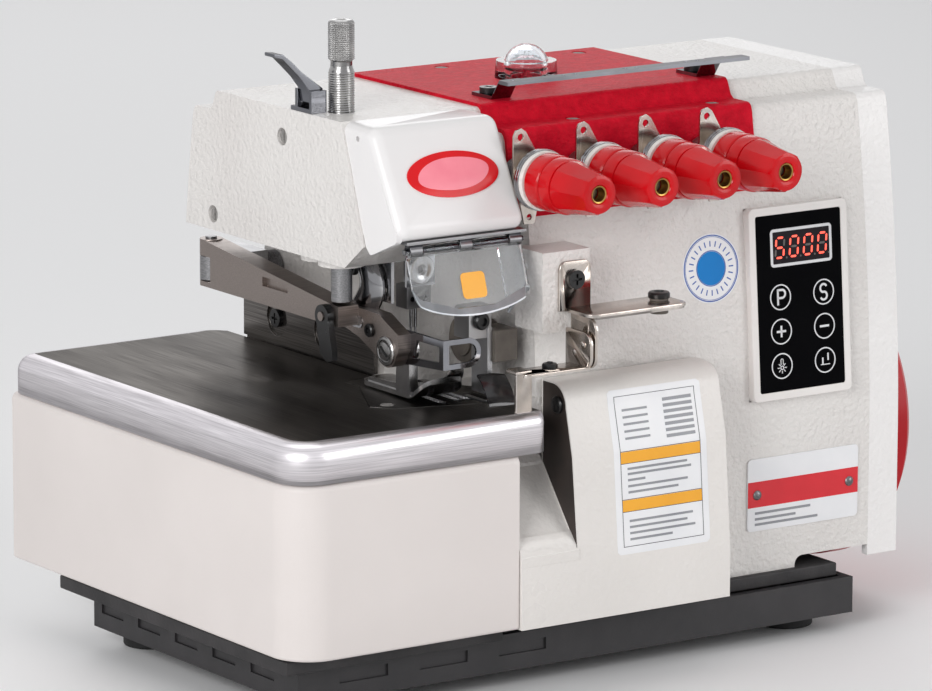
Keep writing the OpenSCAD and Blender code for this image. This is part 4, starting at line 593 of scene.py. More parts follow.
def makeBoxCover():
    # The section, as inset and height, goes up the outer face, over a quarter circle, and down inside; it is
    # carried along the left side, the round corner and the front.
    k = boxCover
    edge = [(k["edge"] * (1 - np.sin(a)), k["top"] - k["edge"] * (1 - np.cos(a)))
            for a in np.radians(np.linspace(90, 0, 7))]
    foot = [(k["foot"] * (1 - np.cos(a)), k["low"] + k["foot"] * (1 - np.sin(a)))
            for a in np.radians(np.linspace(90, 0, 5))]
    section = foot + [(0, z) for z in k["sideLevels"]] + edge + [(k["wall"], k["top"]), (k["wall"], k["low"])]
    middle = (k["left"] + k["corner"], k["front"] + k["corner"])

    def line(inset):
        left, front = k["left"] + inset, k["front"] + inset
        bend = corner(middle, k["corner"] - inset, 180, 270, 19)
        return np.concatenate([[(left, k["back"]), (left, 0)], bend,
                               [(k["frontStep"], front), (k["right"], front)]])

    rows = np.stack([np.column_stack([line(i), np.full(len(line(i)), z)]) for i, z in section], 1)
    makePiece("boxCoverShell", [grid(rows, wrapColumns=True, caps=True)], "plate_cover", "cover_paint",
              "coverPaint", stands=True)


makeBoxCover()

clothPlate = {
    "low": 105.1, "top": 122, "sheet": 2, "left": -165.5, "front": -105.6, "back": 122.4, "right": -61,
    "frontRight": -40,
    "corners": (12, 8.5, 16, 5),  # radii from the back right corner on, towards the left
    "cornerPoints": 15,
    "roll": (1, 7.5),  # radius of the rolled edge, on the right side and all round
    "fade": 0.7, "spare": 0.3,
    "throat": [(-41, -80.9), (-90.75, -65.0), (-96.9, -56.2), (-77.9, -19.5), (-78.25, -8.55), (-62.35, -5.2),
               (-62, -7.3)],
    "pivot": (-95.5, 114.4, 122), "tube": [(2.95, -17), (6.9, -17), (6.9, -1.9), (2.95, -1.9)],
}


def makeClothPlate():
    # Outer face: the section is a straight skirt and a quarter circle whose radius fades to 1 mm where the
    # outline turns to the right side; the flat top is one face that also follows the throat plate.
    k = clothPlate
    a, b, c, d = k["corners"]
    count = k["cornerPoints"]
    centres = [((k["right"] - a, k["back"] - a), a, 0), ((k["left"] + b, k["back"] - b), b, 90),
               ((k["left"] + c, k["front"] + c), c, 180), ((k["frontRight"] - d, k["front"] + d), d, 270)]
    outline = np.concatenate([corner(m, r, start, start + 90, count) for m, r, start in centres])
    turn = np.concatenate([np.radians(np.linspace(start, start + 90, count)) for m, r, start in centres])
    inward = -np.stack([np.cos(turn), np.sin(turn)], -1)
    growing = np.linspace(0, 1, count) ** k["fade"]
    fade = np.concatenate([growing, np.ones(2 * count), growing[::-1]])
    thin, full = k["roll"]
    roll = np.minimum(thin + (full - thin) * fade, np.repeat(k["corners"], count) - k["spare"])
    rows = [np.column_stack([outline, np.full(len(outline), k["low"])])]
    rows += [np.column_stack([outline + inward * (roll * (1 - np.cos(t)))[:, None],
                              k["top"] - roll * (1 - np.sin(t))]) for t in np.radians(np.linspace(0, 90, 9))]
    skirt, faces = grid(np.array(rows))
    throat = np.column_stack([np.array(k["throat"]), np.full(len(k["throat"]), k["top"])])
    points, faces = wound(np.concatenate([skirt, throat]), faces)
    # The top looks up: its order is set by the sign of its own area
    cap = np.arange(len(skirt) - len(outline), len(points))[None, :]
    p = points[cap[0]]
    area = np.sum(p[:, 0] * np.roll(p[:, 1], -1) - p[:, 1] * np.roll(p[:, 0], -1))
    faces.append(cap if area > 0 else cap[:, ::-1])
    sheet = makePiece("clothPlateSheet", [(points, faces)], "cloth_plate", "brushed", "brushedPlate",
                      stands=True, sharp=50)
    mesh = sheet.data
    mesh.materials.append(paints["brushedRim"])
    # One steel in two tones by facing: the upward top takes brushedPlate, darkened as painted reflection, and
    # the rolled rim the paler brushedRim
    normals = np.empty(len(mesh.polygons) * 3)
    mesh.polygons.foreach_get("normal", normals)
    mesh.polygons.foreach_set("material_index", (normals.reshape(-1, 3)[:, 2] < 0.9999).astype(np.int32))
    # The flat top keeps a clear edge towards the rolled rim
    top = mesh.polygons[-1]
    edgeOf = np.empty(len(mesh.loops), np.int32)
    mesh.loops.foreach_get("edge_index", edgeOf)
    clear = np.zeros(len(mesh.edges), bool)
    mesh.edges.foreach_get("use_edge_sharp", clear)
    clear[edgeOf[top.loop_start:top.loop_start + top.loop_total]] = True
    mesh.edges.foreach_set("use_edge_sharp", clear)
    thick = sheet.modifiers.new("sheet", "SOLIDIFY")
    thick.thickness = k["sheet"] * 0.001
    thick.offset = -1
    # The pivot tube under the back left corner
    makePiece("clothPlatePivot", [spun(k["tube"], k["pivot"], "z", 40)], "cloth_plate", "brushed", "brushedRim")


makeClothPlate()
print("box cover and cloth plate made")

hood = {
    "left": -104.5, "right": -42, "top": 242, "low": 197, "back": -40, "lean": 28, "topY": -69.6,
    "round": (7, 5),  # radii of the upper and the lower bend
    "ends": (5.5, 3.0), "leftInset": 4.4, "spare": 0.03, "leastRound": 0.3,
    "wing": [(-84.6, 206.5), (-88.4, 200.5), (-88.3, 197.9), (-87.0, 196.6), (-71.0, 189.9), (-68.8, 189.4),
             (-62.0, 192.0), (-62.0, 206.5)],
    "wingThick": 2.9, "weld": 5e-6,
}


def hoodFront(z):
    return hood["topY"] - (hood["top"] - z) * math.tan(math.radians(hood["lean"]))


def makeHood():
    # Closed form: the section is the leaning face with a round top and a round foot, drawn in near each end by
    # a quarter circle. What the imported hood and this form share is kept.
    k = hood
    rTop, rLow = k["round"]
    slope, spare = math.radians(k["lean"]), k["spare"]
    sideTop = (hoodFront(k["top"] - rTop) + rTop / math.cos(slope), k["top"] - rTop)
    sideLow = (hoodFront(k["low"] + rLow) + rLow / math.cos(slope), k["low"] + rLow)

    def section(inset):
        rise = corner(sideTop, max(rTop - inset, k["leastRound"]), 90, 180 - k["lean"], 9)
        foot = corner(sideLow, max(rLow - inset, k["leastRound"]), 180 - k["lean"], 270, 9)
        return np.concatenate([[[k["back"], k["top"] - spare - inset]], rise + [[0, -spare]],
                               foot + [[0, spare]], [[k["back"], k["low"] + spare + inset]]])

    first, last = k["ends"]
    turns = np.radians(np.linspace(0, 90, 10))
    stations = [(k["left"] + spare + first * (1 - np.cos(t)), k["leftInset"] * (1 - np.sin(t))) for t in turns]
    stations += [(k["right"] - spare - last * (1 - np.cos(t)), last * (1 - np.sin(t))) for t in turns[::-1]]
    rows = [np.column_stack([np.full(len(section(d)), x), section(d)]) for x, d in stations]
    low = np.column_stack([np.full(len(k["wing"]), k["left"] + spare), k["wing"]])
    wing = grid([low, low + [k["wingThick"], 0, 0]], wrapColumns=True, caps=True)
    shell = added("hoodShell", nodes["head_cover"].data.copy())
    welded(shell.data, k["weld"])
    carved(shell, makeShape("hoodForm", [grid(rows, wrapColumns=True, caps=True), wing], "hoodPlastic"),
           "INTERSECT")
    shell.data.materials.clear()
    shell.data.materials.append(paints["hoodPlastic"])
    handOver(shell, "head_cover", True)


makeHood()

badge = {
    "x": -71.4, "down": 23, "width": 45, "height": 20, "lift": 0.5, "dome": 0.9, "points": 72,
    "middle": (17.8, 7.1, 1.3),  # half length, half height and skew of the pale middle
    "middleLift": 0.54, "middleEdge": 0.1, "middleFloor": 1.2,
}


def makeBadge():
    # A low dome over an oval: above its lift it rises by dome times (1 - share squared), where share is the way
    # from the middle to the rim. The pale middle is a pointed oval a hair above it.
    k = badge
    count = k["points"]
    slope = math.radians(hood["lean"])
    down = np.array([0, -math.sin(slope), -math.cos(slope)])
    out = np.array([0, -math.cos(slope), math.sin(slope)])
    place = (np.array([k["x"], hood["topY"], hood["top"]]) + down * k["down"], (1, 0, 0), -down, out)

    def level(outline, height):
        return np.column_stack([outline, np.full(count, height)])

    rows = [level(ellipse(k["width"] * s, k["height"] * s), k["lift"] + k["dome"] * (1 - s * s))
            for s in np.linspace(0, 1, 12)]
    rows += [level(ellipse(k["width"], k["height"]), 0), level(ellipse(0, 0), 0)]
    makePiece("badgeRim", [laid(grid(rows, wrapColumns=True), *place)], "head_badge", "red_plastic", "badgeRed",
              stands=True)
    long, tall, skew = k["middle"]
    t = np.linspace(0, 2 * np.pi, count, endpoint=False)
    lens = np.stack([long * np.cos(t), tall * np.sin(t) + skew * np.cos(t) ** 3], -1)
    half = [k["width"] / 2, k["height"] / 2]
    rows = [np.column_stack([lens * s, k["middleLift"] + k["dome"] * (1 - np.sum((lens * s / half) ** 2, 1))])
            for s in np.linspace(0, 1, 10)]
    rows += [rows[-1] - [0, 0, k["middleEdge"]], level(lens * 0, k["middleFloor"])]
    makePiece("badgeMiddle", [laid(grid(rows, wrapColumns=True), *place)], "head_badge", "red_plastic",
              "badgePink")


makeBadge()
print("hood and badge made")

# Profiles are radius and height out from the machine; the circle goes over to eight flats and back
tensionCap = {
    "front": -94.2, "z": 217, "x": (-33.5, -1.5, 30.5, 62.5),
    "section": [(9.2, 0), (11.2, 0), (11.9, 0.6), (12, 1.4), (12, 7.6), (11.8, 8.6), (11.2, 9.2), (10.7, 9.3),
                (10.7, 9.9), (11.3, 10.0), (11.75, 10.5), (11.7, 16.6), (11.4, 17.3), (10.8, 17.4), (10.8, 18),
                (11.2, 18.1), (11.3, 18.8), (10.4, 24), (9.6, 30), (8.9, 35), (8.6, 36.8), (8.0, 37.7),
                (7.2, 38), (4.9, 38), (4.2, 37.7), (3.9, 37), (3.9, 32), (3.3, 32), (3.3, 24), (9.2, 22)],
    "flatsFrom": (17.8, 2.5), "flatsTo": (36.6, 1.2),  # height, and over what height they come or go
    "bore": [(3.35, 32.1), (3.85, 32.1), (3.85, 36.9), (3.65, 37.3), (3.1, 37.1), (2.9, 36.2), (2.7, 33)],
}


def makeCaps():
    # Spun section: base ring, groove, second ring, groove, then a taper whose circle goes over to eight flats.
    k = tensionCap
    (start, rise), (end, fall) = k["flatsFrom"], k["flatsTo"]

    def flats(h):
        return np.clip((h - start) / rise, 0, 1) * (1 - np.clip((h - end) / fall, 0, 1))

    for i, x in enumerate(k["x"], 1):
        node, centre = "tension_cap_%d" % i, (x, k["front"], k["z"])
        makePiece("capShell%d" % i, [spun(k["section"], centre, "-y", 96, flats)], node, "red_plastic",
                  "capPlastic", stands=True, sharp=26)
        makePiece("capBore%d" % i, [spun(k["bore"], centre, "-y", 48)], node, "bronze", "bronze")


makeCaps()
print("caps made")

pressureScrew = {
    "x": -90.8, "y": -26.3, "low": 216, "pitch": 1.0, "columns": 144,
    "thread": (5.27, 0.36), "threadEnd": 259.2,  # core radius and height of the thread, and where it stops
    "neck": (4.6, 0.67, 261.5, 2),  # least radius, growth, where the growth ends and over what height
    "knurl": (5.35, 0.3, 24, 3.6),  # radius, depth, waves round and their climb
    "head": (5.0, 263.9, 264, 280.3, 0.5),  # core radius, end of the neck, start, end and ease at both
    "levels": ((216, 259, 260), (259.4, 263.6, 12), (264, 280.2, 110)),  # from, to and count
    "start": ((0, 216), (4.6, 216)),  # radius and height of the rings below, then above
    "end": ((4.7, 280.9), (2.1, 280.95), (1.7, 280.6), (1.6, 254), (0, 254)),
}


def makePressureScrew():
    # Radius by angle and height: on the thread a triangle wave of height / pitch - angle, and on the knurled
    # head the product of two crossing cosine waves, eased at both ends.
    k = pressureScrew
    z = np.concatenate([np.linspace(*level) for level in k["levels"]])
    turn = np.linspace(0, 2 * np.pi, k["columns"], endpoint=False)
    a, h = np.meshgrid(turn, z)
    thread = k["thread"][0] + k["thread"][1] * np.abs(((h / k["pitch"] - a / (2 * np.pi)) % 1) * 2 - 1)
    base, depth, around, climb = k["knurl"]
    knurl = base + depth * np.cos(around * a + climb * h) * np.cos(around * a - climb * h)
    core, neckEnd, start, end, reach = k["head"]
    ease = np.clip((h - start) / reach, 0, 1) * np.clip((end - h) / reach, 0, 1)
    thin, grow, level, fall = k["neck"]
    neck = thin + grow * np.clip((level - h) / fall, 0, 1)
    r = np.where(h < k["threadEnd"], thread, np.where(h < neckEnd, neck, core + (knurl - core) * ease))

    def turned(radius, height):
        return np.stack([k["x"] + radius * np.cos(a[:1]), k["y"] + radius * np.sin(a[:1]),
                         np.full(a[:1].shape, float(height))], -1)

    rows = np.concatenate([turned(*ring) for ring in k["start"]]
                          + [np.stack([k["x"] + r * np.cos(a), k["y"] + r * np.sin(a), h], -1)]
                          + [turned(*ring) for ring in k["end"]])
    makePiece("pressureScrewTurned", [grid(rows, wrapColumns=True)], "pressure_screw", "chrome", "turnedSteel",
              stands=True, sharp=60)


makePressureScrew()
print("pressure screw made")

panel = {
    "x": 110.5, "z": 148, "height": 84, "seat": 1, "film": 4.8, "under": 0.02, "ink": 0.1,
    "key": 5.35, "keyLine": 0.55,
    "keys": ((-10.7, 2.5), (12.6, 2.4), (-10.8, -12.4), (12.5, -12.5), (-11, -27.4), (12.3, -27.4)),
    "letterLine": 0.95,
    # Middle and radius, then the first and last angle, of the round strokes of P and S
    "bowl": ((-9.9, 3.9), 1.75, 90, -90, 14),
    "curves": (((12.6, 4.0), 1.75, 25, 250, 18), ((12.6, 0.72), 1.75, 70, -155, 18)),
    # Straight strokes of P, plus, minus and the needle stop, by width of line
    "strokes": ((0.95, ((-12.1, -0.9), (-12.1, 2.4), (-12.1, 5.95))),
                (0.95, ((-13.3, -12.4), (-10.8, -12.4), (-8.3, -12.4))),
                (0.95, ((-10.8, -14.9), (-10.8, -12.4), (-10.8, -9.9))),
                (0.95, ((10.0, -12.5), (12.5, -12.5), (15.0, -12.5))),
                (0.4, ((9.9, -29.3), (12.3, -29.3), (14.9, -29.3))),
                (0.75, ((11, -29.2), (11, -27.6), (11, -26.2))),
                (0.75, ((13.9, -27.6), (13.9, -26), (13.9, -24.4)))),
    "lamp": (-11, -28.2), "lampRing": (0.75, 0.4), "lampStem": ((-11, -24.9), 0.6, 180, 0, 8),
    "stemFoot": -26.9, "stemLine": 0.35, "rays": (1.25, 1.85, 2.45), "rayLine": 0.4,
    "rayAngles": (-180, -135, -90, -45, 0, 45, 135),
}
display = {
    "middle": (1.2, 23.9), "frame": (31.8, 15.2, 1.1), "frameLine": 1.25, "window": (30.8, 14.2, 0.6),
    "figures": ((-10.2, "acdfg"), (-2.6, "abcdef"), (5.0, "abcdef"), (12.6, "abcdef")),  # place and lit parts
    "halfSize": (2.15, 4.3), "gap": 0.55, "halfLine": 0.46, "lean": 0.1,
    "parts": {"a": ((-1, 1), (1, 1)), "b": ((1, 1), (1, 0)), "c": ((1, 0), (1, -1)), "d": ((-1, -1), (1, -1)),
              "e": ((-1, -1), (-1, 0)), "f": ((-1, 0), (-1, 1)), "g": ((-1, 0), (1, 0))},
    "dot": 0.9, "dotAcross": 3.5, "dotLevel": 19.4,
}


def onPanel(parts):
    k = panel
    reach = k["height"] / 2
    y = k["seat"] - (casting(k["z"] - reach) + casting(k["z"] + reach)) / 2
    return [laid(part, *castingSide(k["x"], y, k["z"], reach)) for part in parts]


def makePanelPrint():
    # Rings, letters and signs are single lines of even width, like a sign writer's skeleton letters.
    k = panel
    low, high = k["film"] + k["under"], k["film"] + k["under"] + k["ink"]

    def ring(middle, radius, width):
        return stroke(ellipse(2 * radius, 2 * radius, 64, middle), width, low, high, closed=True)

    def dash(points, width):
        return stroke(points, width, low, high)

    parts = [ring(middle, k["key"], k["keyLine"]) for middle in k["keys"]]
    bowl = np.concatenate([[(-12.3, 5.65)], corner(*k["bowl"]), [(-12.3, 2.15)]])
    curve = np.concatenate([corner(*arc) for arc in k["curves"]])
    parts += [dash(points, width) for width, points in k["strokes"]]
    parts += [dash(bowl, k["letterLine"]), dash(curve, k["letterLine"]), ring(k["lamp"], *k["lampRing"])]
    stem = corner(*k["lampStem"])
    ends = [[(stem[i, 0], k["stemFoot"])] for i in (0, -1)]
    parts.append(dash(np.concatenate([ends[0], stem, ends[1]]), k["stemLine"]))
    u, v = k["lamp"]
    parts += [dash([(u + r * np.cos(t), v + r * np.sin(t)) for r in k["rays"]], k["rayLine"])
              for t in np.radians(k["rayAngles"])]
    makePiece("panelPrint", onPanel(parts), "panel_face", "white_plastic", "keyPrint")


def makeDisplay():
    # A pale frame, a dark window, and four figures of seven six-cornered bars, which lean a little.
    k, w = display, panel["film"]
    frameLine = stroke(roundBox(*k["frame"], k["middle"]), k["frameLine"], w + 0.02, w + 0.18, closed=True)
    makePiece("displayFrame", onPanel([frameLine]), "panel_face", "white_plastic", "keyPrint")
    window = slab(roundBox(*k["window"], k["middle"]), w + 0.01, w + 0.05)
    makePiece("displayWindow", onPanel([window]), "panel_face", "black_plastic", "displayDark")
    lit, unlit = [], []
    for place, on in k["figures"]:
        for key, ends in k["parts"].items():
            start, end = np.array(ends, float) * k["halfSize"]
            way = (end - start) / np.linalg.norm(end - start)
            first, last = start + way * k["gap"], end - way * k["gap"]
            along, side = way * k["halfLine"], np.array([-way[1], way[0]]) * k["halfLine"]
            shape = np.array([first, first + along - side, last - along - side, last, last - along + side,
                              first + along + side])
            shape[:, 0] += place + shape[:, 1] * k["lean"]
            shape[:, 1] += k["middle"][1]
            (lit if key in on else unlit).append(slab(shape, w + 0.05, w + 0.1))
        dot = ellipse(k["dot"], k["dot"], 12, (place + k["dotAcross"], k["dotLevel"]))
        unlit.append(slab(dot, w + 0.05, w + 0.09))
    makePiece("displayFigures", onPanel(lit), "panel_face", "red_plastic", "displayLight")
    makePiece("displayRest", onPanel(unlit), "panel_face", "white_plastic", "displayOff")


makePanelPrint()
makeDisplay()
print("panel prints made")


label = {
    "left": -4.6, "right": 43.6, "low": 25.5, "high": 95.5, "round": 1.6, "paper": 0.1,
    # Front cover by y and z: two slopes, then a quarter circle by middle, radius and angles
    "cover": [(-107.0, 30.4), (-107.0, 50.0), (-102.8, 100.0), (-98.0, 120.0)],
    "coverBend": ((-88, 120), 10, 180, 90, 25),
    "margin": 3.2, "bands": (43.5, 64.0), "bandHeight": 5.0, "bandInset": 0.1,
    "line": 0.25, "sides": (28.6, 92.6), "rules": (28.6, 43.4, 48.6, 63.9, 69.1, 92.4),
    "barInset": 3.5, "barHeight": 1.0,
    "bars": ((31.2, 22), (33.8, 34), (36.4, 30), (39.0, 33), (51.2, 26), (53.8, 31), (56.4, 9), (59.0, 33),
             (61.2, 31), (74, 13), (77, 13), (80, 13), (83, 13), (86, 13)),  # level and length
    "block": (17, 2), "blockLevels": (72.5, 90, 2.6), "blockHeight": 1.4,
}


def coverFace(run):
    # Where a run length up the front cover lies, and which way it faces there.
    path = np.concatenate([label["cover"], corner(*label["coverBend"])[1:]])
    steps = np.concatenate([[0], np.cumsum(np.linalg.norm(np.diff(path, axis=0), axis=1))])
    spot = np.stack([np.interp(run, steps, path[:, 0]), np.interp(run, steps, path[:, 1])], -1)
    way = np.gradient(spot, axis=0)
    way /= np.linalg.norm(way, axis=1, keepdims=True)
    return spot, np.stack([-way[:, 1], way[:, 0]], -1)


def draped(x0, x1, low, high, lift, radius=0.0, rowCount=60):
    # A thin label: its rows follow the front cover by run length; rounded ends pull the rows in.
    run = np.linspace(low, high, rowCount)
    reach = np.minimum(run - low, high - run)
    pull = np.where(reach < radius, radius - np.sqrt(np.maximum(radius ** 2 - (radius - reach) ** 2, 0)), 0)
    share = np.array([0.0, 1.0])
    x = (x0 + pull)[:, None] * (1 - share) + (x1 - pull)[:, None] * share
    place, outward = coverFace(run)

    def layer(height):
        spot = place + outward * height
        return np.stack([x, np.repeat(spot[:, :1], 2, 1), np.repeat(spot[:, 1:], 2, 1)], -1)

    return closedSheet(layer(lift), layer(lift - label["paper"]))


def makeCoverLabel():
    k = label
    left, right = k["left"] + k["margin"], k["right"] - k["margin"]

    def put(name, parts, paint):
        makePiece(name, parts, "front_cover", "label_metal", paint)

    put("coverLabel", [draped(k["left"], k["right"], k["low"], k["high"], 0.12, k["round"])], "labelWhite")
    inset = k["bandInset"]
    put("coverLabelBands", [draped(left + inset, right - inset, low, low + k["bandHeight"], 0.18, rowCount=8)
                            for low in k["bands"]], "labelAmber")
    lines = [draped(x, x + k["line"], *k["sides"], 0.2) for x in (left, right - k["line"])]
    lines += [draped(left, right, low, low + k["line"], 0.2, rowCount=4) for low in k["rules"]]
    put("coverLabelLines", lines, "labelInk")
    start = left + k["barInset"]
    bars = [draped(start, start + length, low, low + k["barHeight"], 0.19, rowCount=4)
            for low, length in k["bars"]]
    bars += [draped(right - k["block"][0], right - k["block"][1], low, low + k["blockHeight"], 0.19, rowCount=4)
             for low in np.arange(*k["blockLevels"])]
    put("coverLabelRows", bars, "labelGrey")


makeCoverLabel()

seal = {"x": 65.5, "z": 166.5, "reach": 10, "paper": 30, "middle": 14.6,
        "rings": ((28.4, 0.5, 0.22), (27.2, 0.2, 0.22), (15.2, 0.35, 0.26)),  # across, line and height
        "ticks": (9.4, 10.6, 11.8), "tickLine": 0.55, "tickDegrees": 15}


def makeSeal():
    # Discs, rings and plain ticks on the leaning side of the casting.
    k = seal
    base = castingSide(k["x"], -casting(k["z"]), k["z"], k["reach"])

    def put(name, parts, paint):
        makePiece(name, [laid(part, *base) for part in parts], "machine_frame", "label_metal", paint)

    put("sealPaper", [slab(ellipse(k["paper"], k["paper"]), -0.1, 0.16)], "labelWhite")
    rings = [stroke(ellipse(across, across), line, 0.1, high, closed=True) for across, line, high in k["rings"]]
    ticks = [stroke([(r * np.cos(t), r * np.sin(t)) for r in k["ticks"]], k["tickLine"], 0.1, 0.2)
             for t in np.radians(np.arange(0, 360, k["tickDegrees"]))]
    put("sealRings", rings + ticks, "labelInkBlue")
    put("sealMiddle", [slab(ellipse(k["middle"], k["middle"]), 0.1, 0.24)], "labelBlue")


makeSeal()

nameplate = {"place": (113, -80.3, 65), "band": (-29.9, -5.4, 29.9, 5.9), "rowHeight": 1.1,
             "rows": ((-26, -8.6, 30), (-26, -11.2, 22), (-26, -13.6, 34))}  # left, low and length


def makeNameplatePrint():
    # A red band with thin lines under it, printed on the plate's face.
    k = nameplate
    band = plate("front", k["place"], rectangle(*k["band"]), 0.0, 0.12)
    makePiece("nameplateBand", [band], "nameplate", "label_metal", "labelRed")
    rows = [plate("front", k["place"], rectangle(x, z, x + length, z + k["rowHeight"]), 0.0, 0.1)
            for x, z, length in k["rows"]]
    makePiece("nameplateRows", rows, "nameplate", "label_metal", "labelGrey")


makeNameplatePrint()
print("labels made")

visor = {
    "left": -99.5, "right": -40, "hinge": (-86, 192.5), "lean": 18, "wall": 1.0, "bend": 5, "back": 22,
    "frontPoints": 60, "bendPoints": 11, "sidePoints": 15, "levels": 24,
    "drop": 20.5, "belly": 9, "bellyPower": 0.55, "cornerCut": (4, 0.05),  # height and share of the front
    "bendDrop": 3, "sideDrop": 12, "sidePower": 1.2, "under": (2.1, 0.7),
    "barrel": (1.35, 2.5, 2.65, 0.3), "barrels": ((-91.2, -73.1), (-66.5, -47.8)),
    "edge": 0.1, "tag": (12, 11, 2), "tagX": -69.5, "tagDown": 17,
}


def makeVisor():
    # One clear sheet: in plan it runs along the front, round a bend and back. It hangs from the hinge and leans
    # out by sin(lean) times the drop, which is 20.5 + 9 sin(pi share) to the power 0.55 along the front and
    # grows by a power of the share along the bend and the side.
    k = visor
    (hy, hz), x1, bend = k["hinge"], k["right"], k["bend"]
    under, over = k["under"]
    count, turns, sides = k["frontPoints"], k["bendPoints"], k["sidePoints"]
    front = np.linspace(k["left"], x1 - bend, count)
    turn = np.radians(np.linspace(-90, 0, turns + 1))[1:]
    side = np.linspace(bend, k["back"], sides + 1)[1:]
    across = np.concatenate([front, x1 - bend + bend * np.cos(turn), np.full(sides, x1)])
    deep = np.concatenate([np.zeros(count), bend + bend * np.sin(turn), side])
    normal = np.concatenate([np.tile([0, 1], (count, 1)), np.stack([-np.cos(turn), -np.sin(turn)], -1),
                             np.tile([-1, 0], (sides, 1))])
    share = (front - k["left"]) / (x1 - k["left"])
    high, reach = k["cornerCut"]
    cornerCut = high * np.clip(1 - share / reach, 0, 1) ** 2
    belly = np.sin(np.pi * np.clip(share, 0, 1)) ** k["bellyPower"]
    bendDrop = k["bendDrop"] * np.linspace(0, 1, turns) ** 2
    sideDrop = k["bendDrop"] + k["sideDrop"] * np.linspace(0, 1, sides) ** k["sidePower"]
    drop = k["drop"] + np.concatenate([k["belly"] * belly - cornerCut, bendDrop, sideDrop])
    tip = math.radians(k["lean"])
    down = np.linspace(0, 1, k["levels"])[:, None] * drop[None, :]

    def sheet(shift):
        x = np.tile(across + normal[:, 0] * shift, (k["levels"], 1))
        y = hy - under - np.sin(tip) * down + (deep + normal[:, 1] * shift)[None, :]
        return np.stack([x, y, hz + over - np.cos(tip) * down], -1)

    def put(name, parts, slot, paint, **more):
        makePiece(name, parts, "visor", slot, paint, **more)

    inner, outer, wide, ease = k["barrel"]
    barrels = [spun([(inner, a), (outer, a), (wide, a + ease), (wide, b - ease), (outer, b), (inner, b)],
                    (0, hy, hz), "x", 32) for a, b in k["barrels"]]
    put("visorSheet", [closedSheet(sheet(0), sheet(k["wall"]))] + barrels, "clear_plastic", "clearPlastic",
        stands=True, sharp=40)
    # A painted highlight on the clear lower edge: a pale opaque band over the last half step of the sheet
    spare = k["edge"]
    band = [np.stack([face.mean(0), face[1] - [0, 0, spare]])
            for face in (sheet(-spare)[-2:], sheet(k["wall"] + spare)[-2:])]
    put("visorEdgeHighlight", [closedSheet(*band)], "clear_plastic", "clearEdgeHighlight", sharp=40)
    out = np.array([0, -math.cos(tip), -math.sin(tip)])
    up = np.array([0, math.sin(tip), math.cos(tip)])
    spot = np.array([k["tagX"], hy - under, hz + over]) - up * k["tagDown"]
    put("visorTag", [laid(slab(roundBox(*k["tag"]), 0.02, 0.12), spot, (1, 0, 0), up, out)], "label_metal",
        "labelAmber")


makeVisor()
print("visor made")

foot = {
    "left": -76.4, "right": -53.7, "toe": -64.5, "heel": -17.5, "sole": 122.95, "thick": 2.0, "crown": 0.5,
    "split": -52, "riseFrom": -54, "rise": 0.062,  # the toe turns up by rise times the square of the run
    "ends": (6, 5), "draw": (5, 5.5, 3.5), "fullness": 0.98,  # reach and draw-in at the heel and the toe
    "heelFrom": -33, "heelRight": -59.3, "columns": 14,
    "slots": ((6.2, 8.6, 1.2, (-61, -35.2)), (1.5, 26, 0.7, (-59.7, -35.2))), "slotLevels": (120, 130),
    "shank": [(-58, 124.4), (-47.5, 124.4), (-47.6, 134), (-48.6, 143), (-57.4, 143), (-57.6, 130)],
    "shankX": -77.6, "shankThick": 4.6,
    "eye": [(2.75, -77.9), (5.6, -77.9), (6, -77.5), (6, -73.4), (5.6, -73), (2.75, -73)],
    "rib": [(-50, 124.2), (-22, 124.2), (-24, 126.6), (-44, 127.6), (-48, 130)], "ribX": -75.4, "ribThick": 2.2,
    "pivot": (-53, 144),  # y and z of the foot's pivot, which the arm's screw shares
}
toeGuard = {"x": -58.4, "start": -44, "run": 21.5, "gap": 0.3, "lift": 9.0, "bendFrom": 0.42, "power": 2.1,
            "half": 4.6, "narrowing": 1.2, "tipFrom": 0.85, "bow": 0.6, "thick": 1.1}


